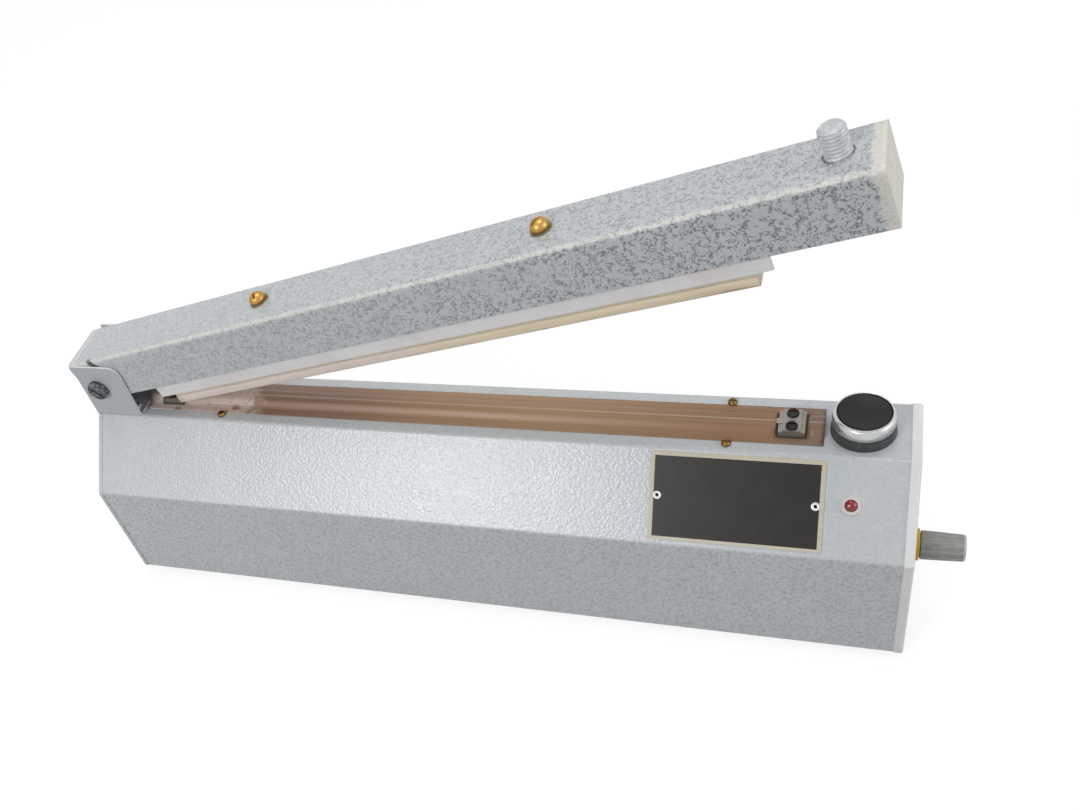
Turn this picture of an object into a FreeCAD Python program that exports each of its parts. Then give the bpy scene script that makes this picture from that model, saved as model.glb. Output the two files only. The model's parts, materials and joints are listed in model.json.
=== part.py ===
"""Impulse heat sealer: a folded steel base, a hinged arm with a sprung pressure bar,
a push button under the arm's adjusting stud and a timer knob on the right end.

Frame: X runs along the sealer from the hinge to the button, Y to the back, Z up.
Pieces are drawn about the middle of the base, and the arm's pieces about its pivot, lying
level. Each is then seated in the object's frame, whose origin lies on the bench under the
middle of the whole object with its arm turned up to its open stop.
"""
import FreeCAD, Part
import math
import os

import Sketcher

V = FreeCAD.Vector

SIZES = {
    "base shell": {
        "base_length": 404.0,
        "base_width": 92.0,
        "base_height": 95.0,
        "top_width": 33.0,
        "facet_drop": 32.0,
        "shell_sheet": 1.2,
        "shell_bend": 1.2,
        "foot_standoff": 4.0,
    },
    "end plates and bottom cover": {
        "end_sheet": 2.0,
        "right_end_sheet": 4.0,
        "right_end_edge": 1.2,
        "end_proud": 0.4,
        "end_flange": 14.0,
        "cover_sheet": 1.2,
        "cover_gap": 0.4,
        "cover_screw_inset": 16.0,
        "slot_long": 26.0,
        "slot_wide": 3.0,
        "slot_pitch": 9.0,
        "foot_inset": 28.0,
        "foot_side_inset": 14.0,
        "foot_bottom": 15.0,
        "foot_top": 12.5,
    },
    "hinge": {
        "pivot_inset": 10.5,
        "pivot_height": 19.5,
        "ear_length": 27.5,
        "ear_height": 34.0,
        "ear_sheet": 1.2,
        "ear_corner": 6.0,
        "ear_gap": 0.35,
        "pin_size": 6.0,
        "pin_fit": 0.1,
        "pin_head": 11.0,
        "pin_head_tall": 3.2,
        "nut_across": 10.0,
        "nut_tall": 6.0,
        "bush_wall": 1.75,
        "open_angle": 15.5,
        "spring_wire": 1.6,
        "spring_room": 1.6,
        "spring_turns": 6.0,
    },
    "arm": {
        "arm_width": 31.0,
        "arm_height": 25.0,
        "arm_over_pivot": 16.5,
        "arm_sheet": 1.2,
        "arm_bend": 1.8,
        "arm_end_sheet": 1.5,
        "arm_setback": 4.0,
        "stop_width": 12.0,
        "stop_gap": 0.25,
    },
    "pressure bar": {
        "bar_travel": 8.5,
        "rail_gap": 1.3,
        "rail_height": 11.5,
        "rail_sheet": 1.5,
        "strip_setback": 7.0,
        "strip_gap": 0.1,
        "strip_height": 17.0,
        "wrap_sheet": 0.4,
        "wrap_height": 5.4,
        "wrap_clear": 0.05,
        "guide_spread": 147.0,
        "guide_size": 4.0,
        "guide_head": 8.4,
        "guide_head_tall": 4.4,
        "guide_washer": 9.6,
        "washer_sheet": 0.8,
        "guide_nut_across": 7.0,
        "guide_nut_tall": 3.2,
        "bar_spring_wire": 1.0,
        "bar_spring_turns": 8.0,
    },
    "adjusting stud": {
        "stud_size": 10.0,
        "stud_past_button": 3.5,
        "stud_above": 28.0,
        "stud_hole": 11.4,
        "stud_fit": 0.1,
        "stud_clear": 0.2,
        "bridge_long": 22.0,
        "bridge_tall": 7.0,
        "stud_nut_across": 17.0,
        "stud_nut_tall": 5.0,
    },
    "seal": {
        "seal_left_inset": 40.5,
        "seal_right_inset": 49.5,
        "terminal_setback": 2.0,
        "former_setback": 14.0,
        "former_foot": 13.0,
        "former_top": 5.0,
        "former_tall": 3.2,
        "ribbon_wide": 3.0,
        "ribbon_thick": 0.2,
        "cloth_thick": 0.2,
        "cloth_clear": 0.1,
        "cloth_right_inset": 38.2,
        "cloth_screw_setback": 31.0,
        "cloth_screw_shift": 2.7,
        "cloth_width": 22.0,
        "cloth_window": 15.0,
        "cloth_window_wide": 15.0,
        "opening_long": 13.0,
        "opening_wide": 14.6,
        "block_long": 11.0,
        "block_wide": 13.0,
        "block_tall": 4.0,
        "clamp_thick": 0.8,
        "pad_margin": 2.5,
        "pad_thick": 1.5,
        "terminal_screw_gap": 7.6,
        "terminal_screw_head": 5.0,
    },
    "push button": {
        "button_inset": 23.0,
        "barrel_size": 22.0,
        "barrel_long": 30.0,
        "panel_fit": 0.4,
        "spring_bore": 14.4,
        "collar_rim": 2.2,
        "collar_taper": 0.4,
        "collar_tall": 4.7,
        "collar_wall": 2.05,
        "collar_shelf": 1.0,
        "bezel_seat": 0.1,
        "bezel_tall": 6.3,
        "bezel_gap": 0.25,
        "cap_tall": 6.0,
        "cap_stem": 8.0,
        "cap_fit": 0.2,
        "cap_travel": 3.5,
        "ring_nut_gap": 2.5,
        "ring_nut_tall": 5.0,
        "contact_long": 28.0,
        "contact_wide": 20.0,
        "contact_tall": 22.0,
        "button_wire": 0.8,
    },
    "front facet": {
        "plate_inset": 72.75,
        "plate_long": 72.8,
        "plate_wide": 39.0,
        "plate_thick": 0.6,
        "plate_slope": 21.3,
        "plate_rivet_inset": 3.4,
        "lamp_inset": 25.8,
        "lamp_slope": 19.8,
        "lamp_size": 5.0,
        "lamp_ring": 9.0,
        "lamp_hole": 6.6,
    },
    "timer": {
        "knob_y": -20.0,
        "knob_z": 50.0,
        "pot_size": 17.0,
        "pot_long": 9.0,
        "pot_bush": 7.0,
        "pot_nut_across": 10.0,
        "pot_nut_tall": 2.0,
        "shaft_size": 6.0,
        "collar_ring": 14.0,
        "collar_ring_tall": 2.6,
        "knob_size": 13.0,
        "knob_long": 17.7,
        "knob_gap": 0.5,
    },
    "inside": {
        "gland_x": -150.0,
        "gland_z": 26.0,
        "gland_size": 10.0,
        "gland_bore": 6.5,
        "core_x": -70.0,
        "core_long": 66.0,
        "core_tall": 55.0,
        "core_deep": 34.0,
        "core_leg": 22.0,
        "core_yoke": 11.0,
        "winding_build": 10.0,
        "winding_gap": 0.5,
        "frame_sheet": 1.0,
        "frame_foot": 10.0,
        "board_x": 90.0,
        "board_long": 70.0,
        "board_wide": 50.0,
        "board_thick": 1.6,
        "board_lift": 8.0,
    },
    "fastenings": {
        "screw_size": 3.0,
        "screw_hole": 3.2,
        "screw_head": 5.6,
        "screw_head_tall": 1.8,
        "screw_slot": 0.8,
        "small_nut_across": 5.5,
        "small_nut_tall": 2.4,
        "rivet_size": 3.2,
        "rivet_hole": 3.4,
        "rivet_head": 6.0,
        "rivet_head_tall": 1.2,
        "plate_rivet": 2.4,
        "plate_rivet_head": 4.4,
        "cloth_screw": 2.0,
        "cloth_screw_head": 4.2,
    },
}

doc = FreeCAD.newDocument("impulse_heat_sealer")
sheet = doc.addObject("Spreadsheet::Sheet", "dim")


def fill_sheet():
    """One row for each size, under a heading for its group."""
    row = 1
    for group, values in SIZES.items():
        sheet.set(f"A{row}", group)
        row += 1
        for alias, value in values.items():
            sheet.set(f"A{row}", alias)
            sheet.set(f"B{row}", str(value))
            sheet.setAlias(f"B{row}", alias)
            row += 1
    doc.recompute()


fill_sheet()

# Places that several pieces share, as expressions on the sheet.
BOTTOM = "dim.foot_standoff"
TOP = "(dim.foot_standoff + dim.base_height)"
HALF_LENGTH = "(dim.base_length / 2)"
SEAL_X = "((dim.seal_left_inset - dim.seal_right_inset) / 2)"
SEAL_LENGTH = "(dim.base_length - dim.seal_left_inset - dim.seal_right_inset)"
TERMINAL_SPAN = f"({SEAL_LENGTH} - 2 * dim.terminal_setback)"
FORMER_LENGTH = f"({SEAL_LENGTH} - 2 * dim.former_setback)"
BUTTON_X = f"({HALF_LENGTH} - dim.button_inset)"
PLATE_X = f"({HALF_LENGTH} - dim.plate_inset)"
LAMP_X = f"({HALF_LENGTH} - dim.lamp_inset)"
RAIL_WIDTH = "(dim.arm_width - 2 * dim.arm_sheet - 2 * dim.rail_gap)"
STRIP_WIDTH = f"({RAIL_WIDTH} - 2 * dim.rail_sheet - 2 * dim.strip_gap)"
FACET_RUN = "((dim.base_width - dim.top_width) / 2)"
FACET_ANGLE = f"atan(dim.facet_drop / {FACET_RUN})"
COVER_TOP = "(dim.foot_standoff + dim.cover_sheet)"
PIVOT_X = "(dim.pivot_inset - dim.base_length / 2)"
PIVOT_Z = f"({TOP} + dim.pivot_height)"
EAR_INNER = "(dim.arm_width / 2 + dim.ear_gap)"
EAR_OUTER = f"({EAR_INNER} + dim.ear_sheet)"
ARM_LEFT = "(-dim.pivot_inset)"
ARM_RIGHT = "(dim.base_length - dim.pivot_inset - dim.arm_setback)"
ARM_CEILING = "(dim.arm_over_pivot - dim.arm_sheet)"
ARM_BOTTOM = "(dim.arm_over_pivot - dim.arm_height)"
STUD_ALONG = f"({BUTTON_X} + dim.stud_past_button - {PIVOT_X})"
BAR_ALONG = f"({SEAL_X} - {PIVOT_X})"
RIDGE = (
    f"({TOP} + dim.former_tall + dim.ribbon_thick + dim.cloth_clear + dim.cloth_thick)"
)
STRIP_FOOT = f"({RIDGE} - {PIVOT_Z} + dim.cloth_clear - dim.bar_travel)"
RAIL_TOP = f"({STRIP_FOOT} + dim.wrap_sheet + dim.wrap_clear + dim.strip_height + dim.rail_sheet)"
CAP_TOP = f"({TOP} + dim.collar_tall + dim.bezel_tall)"
BLOCK_TOP = f"({TOP} - dim.shell_sheet + dim.block_tall)"

# The object's two ends along X, measured from the middle of the base, give its origin.
KNOB_END = f"({HALF_LENGTH} + dim.collar_ring_tall + dim.knob_gap + dim.knob_long)"
ARM_TAIL = (
    f"({PIVOT_X} - dim.pivot_inset * cos(dim.open_angle)"
    " - dim.arm_over_pivot * sin(dim.open_angle))"
)
ORIGIN_X = f"(({KNOB_END} + {ARM_TAIL}) / 2)"

pieces = []


def value(expression):
    """The number that an expression on the sheet gives now."""
    return float(sheet.evalExpression(str(expression)))


def plus(*terms):
    return "(" + " + ".join(f"({term})" for term in terms) + ")"


def minus(first, second):
    return f"(({first}) - ({second}))"


def half(term):
    return f"(({term}) / 2)"


def negative(term):
    return f"(-({term}))"


def keep(thing, name):
    """Name a finished sub-part, which is written to its own file, and seat it if need be."""
    thing.Label = name
    if thing.isDerivedFrom("PartDesign::Body") and not thing.ExpressionEngine:
        place(thing)
    pieces.append(thing)
    return thing


def new_body(name):
    return doc.addObject("PartDesign::Body", name)


def body_plane(body, role):
    return next(item for item in body.Origin.OriginFeatures if item.Role == role)


def draw(body, name, plane, offset="0", loops=(), circles=()):
    """A sketch of closed outlines and circles, every point tied to the sheet."""
    sketch = body.newObject("Sketcher::SketchObject", f"{body.Name}_{name}")
    sketch.AttachmentSupport = [(body_plane(body, plane), "")]
    sketch.MapMode = "FlatFace"
    sketch.setExpression("AttachmentOffset.Base.z", str(offset))

    def tie(kind, geometry, position, expression):
        here = value(expression)
        if kind == "Diameter":
            rule = Sketcher.Constraint(kind, geometry, here)
        else:
            rule = Sketcher.Constraint(kind, -1, 1, geometry, position, here)
        index = sketch.addConstraint(rule)
        sketch.setExpression(f"Constraints[{index}]", str(expression))

    for points in loops:
        first = sketch.GeometryCount
        corners = [V(value(x), value(y), 0) for x, y in points]
        count = len(corners)
        for index in range(count):
            line = Part.LineSegment(corners[index], corners[(index + 1) % count])
            sketch.addGeometry(line, False)
        for index in range(count):
            following = first + (index + 1) % count
            sketch.addConstraint(Sketcher.Constraint("Coincident", first + index, 2, following, 1))
        for index, (x, y) in enumerate(points):
            tie("DistanceX", first + index, 1, x)
            tie("DistanceY", first + index, 1, y)
    for x, y, size in circles:
        ring = Part.Circle(V(value(x), value(y), 0), V(0, 0, 1), value(size) / 2)
        index = sketch.addGeometry(ring, False)
        tie("DistanceX", index, 3, x)
        tie("DistanceY", index, 3, y)
        tie("Diameter", index, 3, size)
    return sketch


def rectangle(low_x, high_x, low_y, high_y):
    return [(low_x, low_y), (high_x, low_y), (high_x, high_y), (low_x, high_y)]


def centred(x, y, long, wide):
    """A rectangle about a centre."""
    return rectangle(minus(x, half(long)), plus(x, half(long)), minus(y, half(wide)), plus(y, half(wide)))


def hexagon(x, y, across):
    """A nut's outline about a centre, from its size across flats."""
    radius = f"(({across}) / 2 / cos(30))"
    return [
        (plus(x, f"{radius} * cos({turn})"), plus(y, f"{radius} * sin({turn})"))
        for turn in range(30, 390, 60)
    ]


def both_sides(points):
    """A closed outline from its right half, listed from the bottom to the top."""
    left = [(negative(x), y) for x, y in reversed(points)]
    return list(points) + left


def add_pad(body, sketch, length, symmetric=False):
    pad = body.newObject("PartDesign::Pad", f"{sketch.Name}_pad")
    pad.Profile = sketch
    pad.setExpression("Length", str(length))
    if symmetric:
        pad.SideType = "Symmetric"
    doc.recompute()
    return pad


def cut(body, sketch, depth=None, symmetric=False, backwards=False):
    """A pocket, which has to take material away."""
    before = body.Shape.Volume
    pocket = body.newObject("PartDesign::Pocket", f"{sketch.Name}_pocket")
    pocket.Profile = sketch
    if depth is None:
        pocket.Type = "ThroughAll"
    else:
        pocket.setExpression("Length", str(depth))
    if symmetric:
        pocket.SideType = "Symmetric"
    pocket.Reversed = backwards
    doc.recompute()
    if body.Shape.Volume > before - 0.01:
        raise RuntimeError(f"{pocket.Name} cuts nothing")
    return pocket


def soften(body, name, radius, test):
    """A fillet on the edges that the test picks."""
    last = body.Tip
    picked = [f"Edge{i + 1}" for i, edge in enumerate(last.Shape.Edges) if test(edge)]
    if not picked:
        raise RuntimeError(f"{name} finds no edge")
    fillet = body.newObject("PartDesign::Fillet", f"{body.Name}_{name}")
    fillet.Base = (last, picked)
    fillet.setExpression("Radius", str(radius))
    doc.recompute()
    return fillet


def runs_along(edge, axis):
    """Whether an edge is straight and lies along X, Y or Z (axis 0, 1 or 2)."""
    if len(edge.Vertexes) != 2:
        return False
    step = edge.Vertexes[1].Point - edge.Vertexes[0].Point
    return abs(abs(step[axis]) - edge.Length) < 1e-6


def near(first, second):
    return abs(first - second) < 0.01


def prism(name, plane, offset, length, loops=(), circles=(), symmetric=False):
    """A body of one padded outline."""
    body = new_body(name)
    sketch = draw(body, "outline", plane, offset, loops, circles)
    add_pad(body, sketch, length, symmetric)
    return body


def turned(name, plane, axis, outline):
    """A body turned about a sketch axis: V_Axis or H_Axis."""
    body = new_body(name)
    sketch = draw(body, "profile", plane, "0", [outline])
    turn = body.newObject("PartDesign::Revolution", f"{name}_turn")
    turn.Profile = sketch
    turn.ReferenceAxis = (sketch, [axis])
    turn.Angle = 360.0
    doc.recompute()
    return body


def place(thing, x="0", y="0", z="0", axis=None, angle="0"):
    """Tie a piece's place, and its turn about one axis, to the sheet."""
    if axis is not None:
        thing.Placement = FreeCAD.Placement(V(0, 0, 0), FreeCAD.Rotation(axis, value(angle)))
        thing.setExpression("Placement.Rotation.Angle", str(angle))
    thing.setExpression("Placement.Base.x", f"({x}) - {ORIGIN_X}")
    thing.setExpression("Placement.Base.y", str(y))
    thing.setExpression("Placement.Base.z", str(z))
    return thing


def place_on_arm(thing, along="0", across="0", up="0"):
    """Seat a piece that is built around the pivot on the open arm."""
    x = f"{PIVOT_X} + ({along}) * cos(dim.open_angle) - ({up}) * sin(dim.open_angle)"
    z = f"{PIVOT_Z} + ({along}) * sin(dim.open_angle) + ({up}) * cos(dim.open_angle)"
    return place(thing, x, across, z, V(0, -1, 0), "dim.open_angle")


def place_on_facet(thing, x, slope, lift="0"):
    """Seat a piece that is built flat on the front facet, a distance down from its top edge."""
    reach = f"(({slope}) * cos({FACET_ANGLE}) + ({lift}) * sin({FACET_ANGLE}))"
    y = f"-dim.top_width / 2 - {reach}"
    z = f"{TOP} - ({slope}) * sin({FACET_ANGLE}) + ({lift}) * cos({FACET_ANGLE})"
    return place(thing, x, y, z, V(1, 0, 0), f"{FACET_ANGLE} / 1deg")


def copies(name, pattern, spots, seat=place):
    """One sub-part that holds a separate solid of the pattern at each spot."""
    links = []
    for number, spot in enumerate(spots):
        link = doc.addObject("App::Link", f"{name}_{number + 1}")
        link.LinkedObject = pattern
        seat(link, *spot)
        links.append(link)
    group = doc.addObject("Part::Compound", name)
    group.Links = links
    doc.recompute()
    return keep(group, name)


def screw_pattern(name, shank, length, head, head_tall, slot=None):
    """A round-headed screw: its shank hangs down from the origin, its head stands on it."""
    outline = [
        ("0", negative(length)),
        (half(shank), negative(length)),
        (half(shank), "0"),
        (half(head), "0"),
        (half(head), f"({head_tall}) * 0.4"),
        (f"({head}) * 0.36", head_tall),
        ("0", head_tall),
    ]
    body = turned(name, "XZ_Plane", "V_Axis", outline)
    if slot is not None:
        line = draw(body, "slot", "XY_Plane", head_tall, [centred("0", "0", f"({head}) * 1.2", slot)])
        cut(body, line, f"({head_tall}) * 0.4")
    return body


def nut_pattern(name, across, tall, bore):
    return prism(name, "XY_Plane", "0", tall, [hexagon("0", "0", across)], [("0", "0", bore)])


def ring_pattern(name, outer, bore, tall):
    return prism(name, "XY_Plane", "0", tall, (), [("0", "0", outer), ("0", "0", bore)])


def coil(name, mean, wire, rise, turns, leg_in=0.0, leg_out=0.0):
    """A round-wire coil spring about Z with straight legs that leave along its ends."""
    pitch = rise / turns
    slope = math.atan2(pitch, 2 * math.pi * mean)
    sweep = 2 * math.pi * turns
    start = V(mean, 0, 0)
    finish = V(mean * math.cos(sweep), mean * math.sin(sweep), rise)
    heading_in = V(0, math.cos(slope), math.sin(slope))
    heading_out = V(
        -math.sin(sweep) * math.cos(slope),
        math.cos(sweep) * math.cos(slope),
        math.sin(slope),
    )
    edges = list(Part.makeHelix(pitch, rise, mean).Edges)
    if leg_in > 0:
        edges.insert(0, Part.makeLine(start - heading_in * leg_in, start))
    if leg_out > 0:
        edges.append(Part.makeLine(finish, finish + heading_out * leg_out))
    path = Part.Wire(Part.__sortEdges__(edges))
    section = Part.Wire(Part.makeCircle(wire / 2, start - heading_in * leg_in, heading_in))
    spring = doc.addObject("Part::Feature", name)
    spring.Shape = path.makePipeShell([section], True, True)
    return spring


# ---------------------------------------------------------------- base shell


def shell_outline(inset):
    """The right half of the base's section, taken in from its outside by an inset."""
    wall = f"(dim.base_width / 2 - ({inset}))"
    bend = f"({TOP} - dim.facet_drop - ({inset}) * tan((90 - {FACET_ANGLE} / 1deg) / 2))"
    crown = f"(dim.top_width / 2 - ({inset}) * tan({FACET_ANGLE} / 2))"
    return [(wall, BOTTOM), (wall, bend), (crown, f"({TOP} - ({inset}))")]


def full_section(inset):
    return both_sides(shell_outline(inset))


def base_shell():
    """The folded cover: top, two facets and two walls from one sheet."""
    outer = shell_outline("0")
    inner = shell_outline("dim.shell_sheet")
    outline = outer + [(negative(x), z) for x, z in reversed(outer)]
    outline += [(negative(x), z) for x, z in inner] + list(reversed(inner))
    length = "(dim.base_length - dim.end_sheet - dim.right_end_sheet)"
    start = f"(dim.end_sheet - {HALF_LENGTH})"
    body = prism("base_shell", "YZ_Plane", start, length, [outline])
    bend_z = value(f"{TOP} - dim.facet_drop")
    top_z = value(TOP)

    def bends(edge):
        return runs_along(edge, 0) and edge.Vertexes[0].Point.z > bend_z - 1.0

    def outside(edge):
        point = edge.Vertexes[0].Point
        return bends(edge) and (near(point.z, bend_z) or near(point.z, top_z))

    soften(body, "inner_bends", "dim.shell_bend", lambda edge: bends(edge) and not outside(edge))
    soften(body, "outer_bends", "dim.shell_bend + dim.shell_sheet", outside)

    opening_x = [half(TERMINAL_SPAN), negative(half(TERMINAL_SPAN))]
    openings = [
        centred(plus(SEAL_X, x), "0", "dim.opening_long", "dim.opening_wide") for x in opening_x
    ]
    top_holes = [(BUTTON_X, "0", "dim.barrel_size + dim.panel_fit")]
    top_holes += [(x, y, "dim.rivet_hole") for x, y in bracket_rivet_spots()]
    top_holes += [(x, y, "dim.cloth_screw") for x, y in cloth_screw_spots()]
    cut(body, draw(body, "top_holes", "XY_Plane", TOP, openings, top_holes), "dim.shell_sheet * 2")

    facet = draw(
        body,
        "facet_holes",
        "XY_Plane",
        "0",
        (),
        [(LAMP_X, "-dim.lamp_slope", "dim.lamp_hole")]
        + [(x, "-dim.plate_slope", "dim.plate_rivet") for x in plate_rivet_x()],
    )
    facet.AttachmentOffset = FreeCAD.Placement(V(0, 0, 0), FreeCAD.Rotation(V(1, 0, 0), 45))
    facet.setExpression("AttachmentOffset.Rotation.Angle", f"{FACET_ANGLE} / 1deg")
    facet.setExpression("AttachmentOffset.Base.y", "-dim.top_width / 2")
    facet.setExpression("AttachmentOffset.Base.z", TOP)
    cut(body, facet, "dim.shell_sheet * 3")

    gland = draw(
        body,
        "gland_hole",
        "XZ_Plane",
        "-dim.base_width / 2",
        (),
        [("dim.gland_x", "dim.gland_z", "dim.gland_size + dim.panel_fit")],
    )
    cut(body, gland, "dim.shell_sheet * 3", backwards=True)
    keep(body, "base_shell")


def bracket_rivet_spots():
    left = f"(dim.rivet_head - {HALF_LENGTH})"
    right = f"(dim.ear_length - dim.rivet_head - {HALF_LENGTH})"
    side = f"({EAR_INNER} - dim.rivet_head / 2 - dim.shell_bend - 0.4)"
    return [(x, y) for x in (left, right) for y in (side, negative(side))]


def cloth_screw_spots():
    reach = "(dim.cloth_width / 2 + dim.cloth_screw_head / 2 - 0.6)"
    middle = f"({SEAL_X} + dim.cloth_screw_shift)"
    reach_x = f"({SEAL_LENGTH} / 2 - dim.cloth_screw_setback)"
    spots = []
    for x in (f"({middle} + {reach_x})", f"({middle} - {reach_x})"):
        spots += [(x, reach), (x, negative(reach))]
    return spots


def plate_rivet_x():
    reach = "(dim.plate_long / 2 - dim.plate_rivet_inset)"
    return [f"({PLATE_X} - {reach})", f"({PLATE_X} + {reach})"]


def cover_screw_spots():
    right = f"({HALF_LENGTH} - dim.right_end_sheet - dim.end_flange / 2)"
    left = f"(dim.end_sheet + dim.end_flange / 2 - {HALF_LENGTH})"
    y = "(dim.base_width / 2 - dim.cover_screw_inset)"
    return [(x, b) for x in (right, left) for b in (y, negative(y))]


def foot_spots():
    x = f"({HALF_LENGTH} - dim.foot_inset)"
    y = "(dim.base_width / 2 - dim.foot_side_inset)"
    return [(a, b) for a in (x, negative(x)) for b in (y, negative(y))]


def frame_screw_spots():
    reach = "(dim.core_long / 2 + 0.1 + dim.frame_sheet + dim.frame_foot / 2)"
    return [(f"(dim.core_x + {way} * {reach})", "0") for way in (-1, 1)]


def end_plate(name, side, holes):
    """An end plate with a flange turned in at the bottom, which the cover is screwed to."""
    body = new_body(name)
    proud = negative("dim.end_proud")
    sheet_name = "dim.right_end_sheet" if side > 0 else "dim.end_sheet"
    outer_face = HALF_LENGTH if side > 0 else f"({sheet_name} - {HALF_LENGTH})"
    plate_from = f"({outer_face} - {sheet_name})"
    section = both_sides(shell_outline(proud))
    section = [(y, BOTTOM if z == BOTTOM else z) for y, z in section]
    add_pad(body, draw(body, "plate", "YZ_Plane", plate_from, [section], holes), sheet_name)
    inside = "(dim.base_width / 2 - dim.shell_sheet - dim.cover_gap)"
    flange = rectangle(negative(inside), inside, COVER_TOP, f"({COVER_TOP} + dim.shell_sheet)")
    start = f"({plate_from} - dim.end_flange)" if side > 0 else f"({outer_face} - 0.5)"
    add_pad(
        body,
        draw(body, "flange", "YZ_Plane", start, [flange]),
        "dim.end_flange + 0.5",
    )
    holes = [(x, y, "dim.screw_size + 0.1") for x, y in cover_screw_spots() if (value(x) > 0) == (side > 0)]
    tapped = draw(body, "tapped_holes", "XY_Plane", f"{COVER_TOP} + dim.shell_sheet", (), holes)
    cut(body, tapped, "dim.shell_sheet * 2")
    if side < 0:
        # The hinge bracket's floor runs out over this plate's top edge.
        reach = f"({EAR_OUTER} + dim.ear_gap)"
        crown = f"({TOP} + dim.end_proud)"
        outline = rectangle(plate_from, outer_face, negative(reach), reach)
        seat = draw(body, "bracket_seat", "XY_Plane", crown, [outline])
        cut(body, seat, "dim.end_proud")
    corners = value("dim.base_width / 2 + dim.end_proud")

    def rim(edge):
        if not runs_along(edge, 0):
            return False
        point = edge.Vertexes[0].Point
        return near(abs(point.y), corners) and point.z > value(BOTTOM) + 5

    soften(body, "corners", "dim.shell_bend + dim.shell_sheet", rim)
    if side > 0:
        face = value(HALF_LENGTH)
        floor = value(BOTTOM)

        def outside(edge):
            ends = [vertex.Point for vertex in edge.Vertexes]
            if len(ends) != 2 or not all(near(end.x, face) for end in ends):
                return False
            return max(end.z for end in ends) > floor + 0.5

        soften(body, "outer_edge", "dim.right_end_edge", outside)
    keep(body, name)


def bottom_cover():
    """The flat cover between the walls, with two rows of cooling slots."""
    long = "(dim.base_length - dim.end_sheet - dim.right_end_sheet - 2 * dim.cover_gap)"
    middle = "((dim.end_sheet - dim.right_end_sheet) / 2)"
    wide = "(dim.base_width - 2 * dim.shell_sheet - 2 * dim.cover_gap)"
    slots = []
    for row in (-1, 1):
        for number in range(7):
            x = f"(dim.core_x + {number - 3} * dim.slot_pitch)"
            slots.append(centred(x, f"({row} * dim.slot_long * 0.75)", "dim.slot_wide", "dim.slot_long"))
    holes = [(x, y, "dim.screw_hole") for x, y in cover_screw_spots() + foot_spots()]
    holes += [(x, y, "dim.screw_size + 0.1") for x, y in frame_screw_spots()]
    body = prism(
        "bottom_cover",
        "XY_Plane",
        BOTTOM,
        "dim.cover_sheet",
        [centred(middle, "0", long, wide)] + slots,
        holes,
    )
    keep(body, "bottom_cover")


def feet():
    """Four rubber feet, each with its screw and nut."""
    bore = "dim.screw_hole / 2"
    recess = "(dim.screw_head / 2 + 0.6)"
    seat = "(dim.foot_standoff - 1.6)"
    outline = [
        (recess, "0"),
        (half("dim.foot_bottom"), "0"),
        (half("dim.foot_top"), "dim.foot_standoff"),
        (bore, "dim.foot_standoff"),
        (bore, seat),
        (recess, seat),
    ]
    foot = turned("foot_pattern", "XZ_Plane", "V_Axis", outline)
    copies("rubber_feet", foot, foot_spots())
    screw = screw_pattern(
        "foot_screw_pattern",
        "dim.screw_size",
        "(1.6 + dim.cover_sheet + dim.small_nut_tall + 0.8)",
        "dim.screw_head",
        "dim.screw_head_tall",
    )
    heads = [(x, y, seat, V(1, 0, 0), "180") for x, y in foot_spots()]
    copies("foot_screws", screw, heads)
    bore = "dim.screw_size + 0.1"
    nut = nut_pattern("foot_nut_pattern", "dim.small_nut_across", "dim.small_nut_tall", bore)
    copies("foot_nuts", nut, [(x, y, COVER_TOP) for x, y in foot_spots()])


def cover_screws():
    screw = screw_pattern(
        "cover_screw_pattern",
        "dim.screw_size",
        "(dim.cover_sheet + dim.shell_sheet + 2.5)",
        "dim.screw_head",
        "dim.screw_head_tall",
        "dim.screw_slot",
    )
    copies("bottom_cover_screws", screw, [(x, y, BOTTOM, V(1, 0, 0), "180") for x, y in cover_screw_spots()])


# --------------------------------------------------------------------- hinge


def hinge_bracket():
    """The U bracket on the base's left end, whose two ears carry the pin."""
    ear_top = f"({TOP} + dim.ear_height)"
    floor = f"({TOP} + dim.ear_sheet)"
    outline = [
        (EAR_OUTER, TOP),
        (EAR_OUTER, ear_top),
        (EAR_INNER, ear_top),
        (EAR_INNER, floor),
    ]
    section = outline + [(negative(y), z) for y, z in reversed(outline)]
    body = prism("hinge_bracket", "YZ_Plane", negative(HALF_LENGTH), "dim.ear_length", [section])
    right = value(f"dim.ear_length - {HALF_LENGTH}")
    top_z = value(ear_top)
    outer = value(EAR_OUTER)
    floor_z = value(TOP)

    def ear_corner(edge):
        point = edge.Vertexes[0].Point
        return runs_along(edge, 1) and near(point.x, right) and near(point.z, top_z)

    def fold(edge):
        point = edge.Vertexes[0].Point
        return runs_along(edge, 0) and near(abs(point.y), outer) and near(point.z, floor_z)

    soften(body, "ear_corners", "dim.ear_corner", ear_corner)
    soften(body, "folds", "dim.ear_sheet", fold)
    bores = draw(body, "pin_bores", "XZ_Plane", "0", (), [(PIVOT_X, PIVOT_Z, "dim.pin_size + dim.pin_fit")])
    cut(body, bores, symmetric=True)
    holes = [(x, y, "dim.rivet_hole") for x, y in bracket_rivet_spots()]
    cut(body, draw(body, "rivet_holes", "XY_Plane", floor, (), holes), "dim.ear_sheet * 2")
    keep(body, "hinge_bracket")


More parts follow.
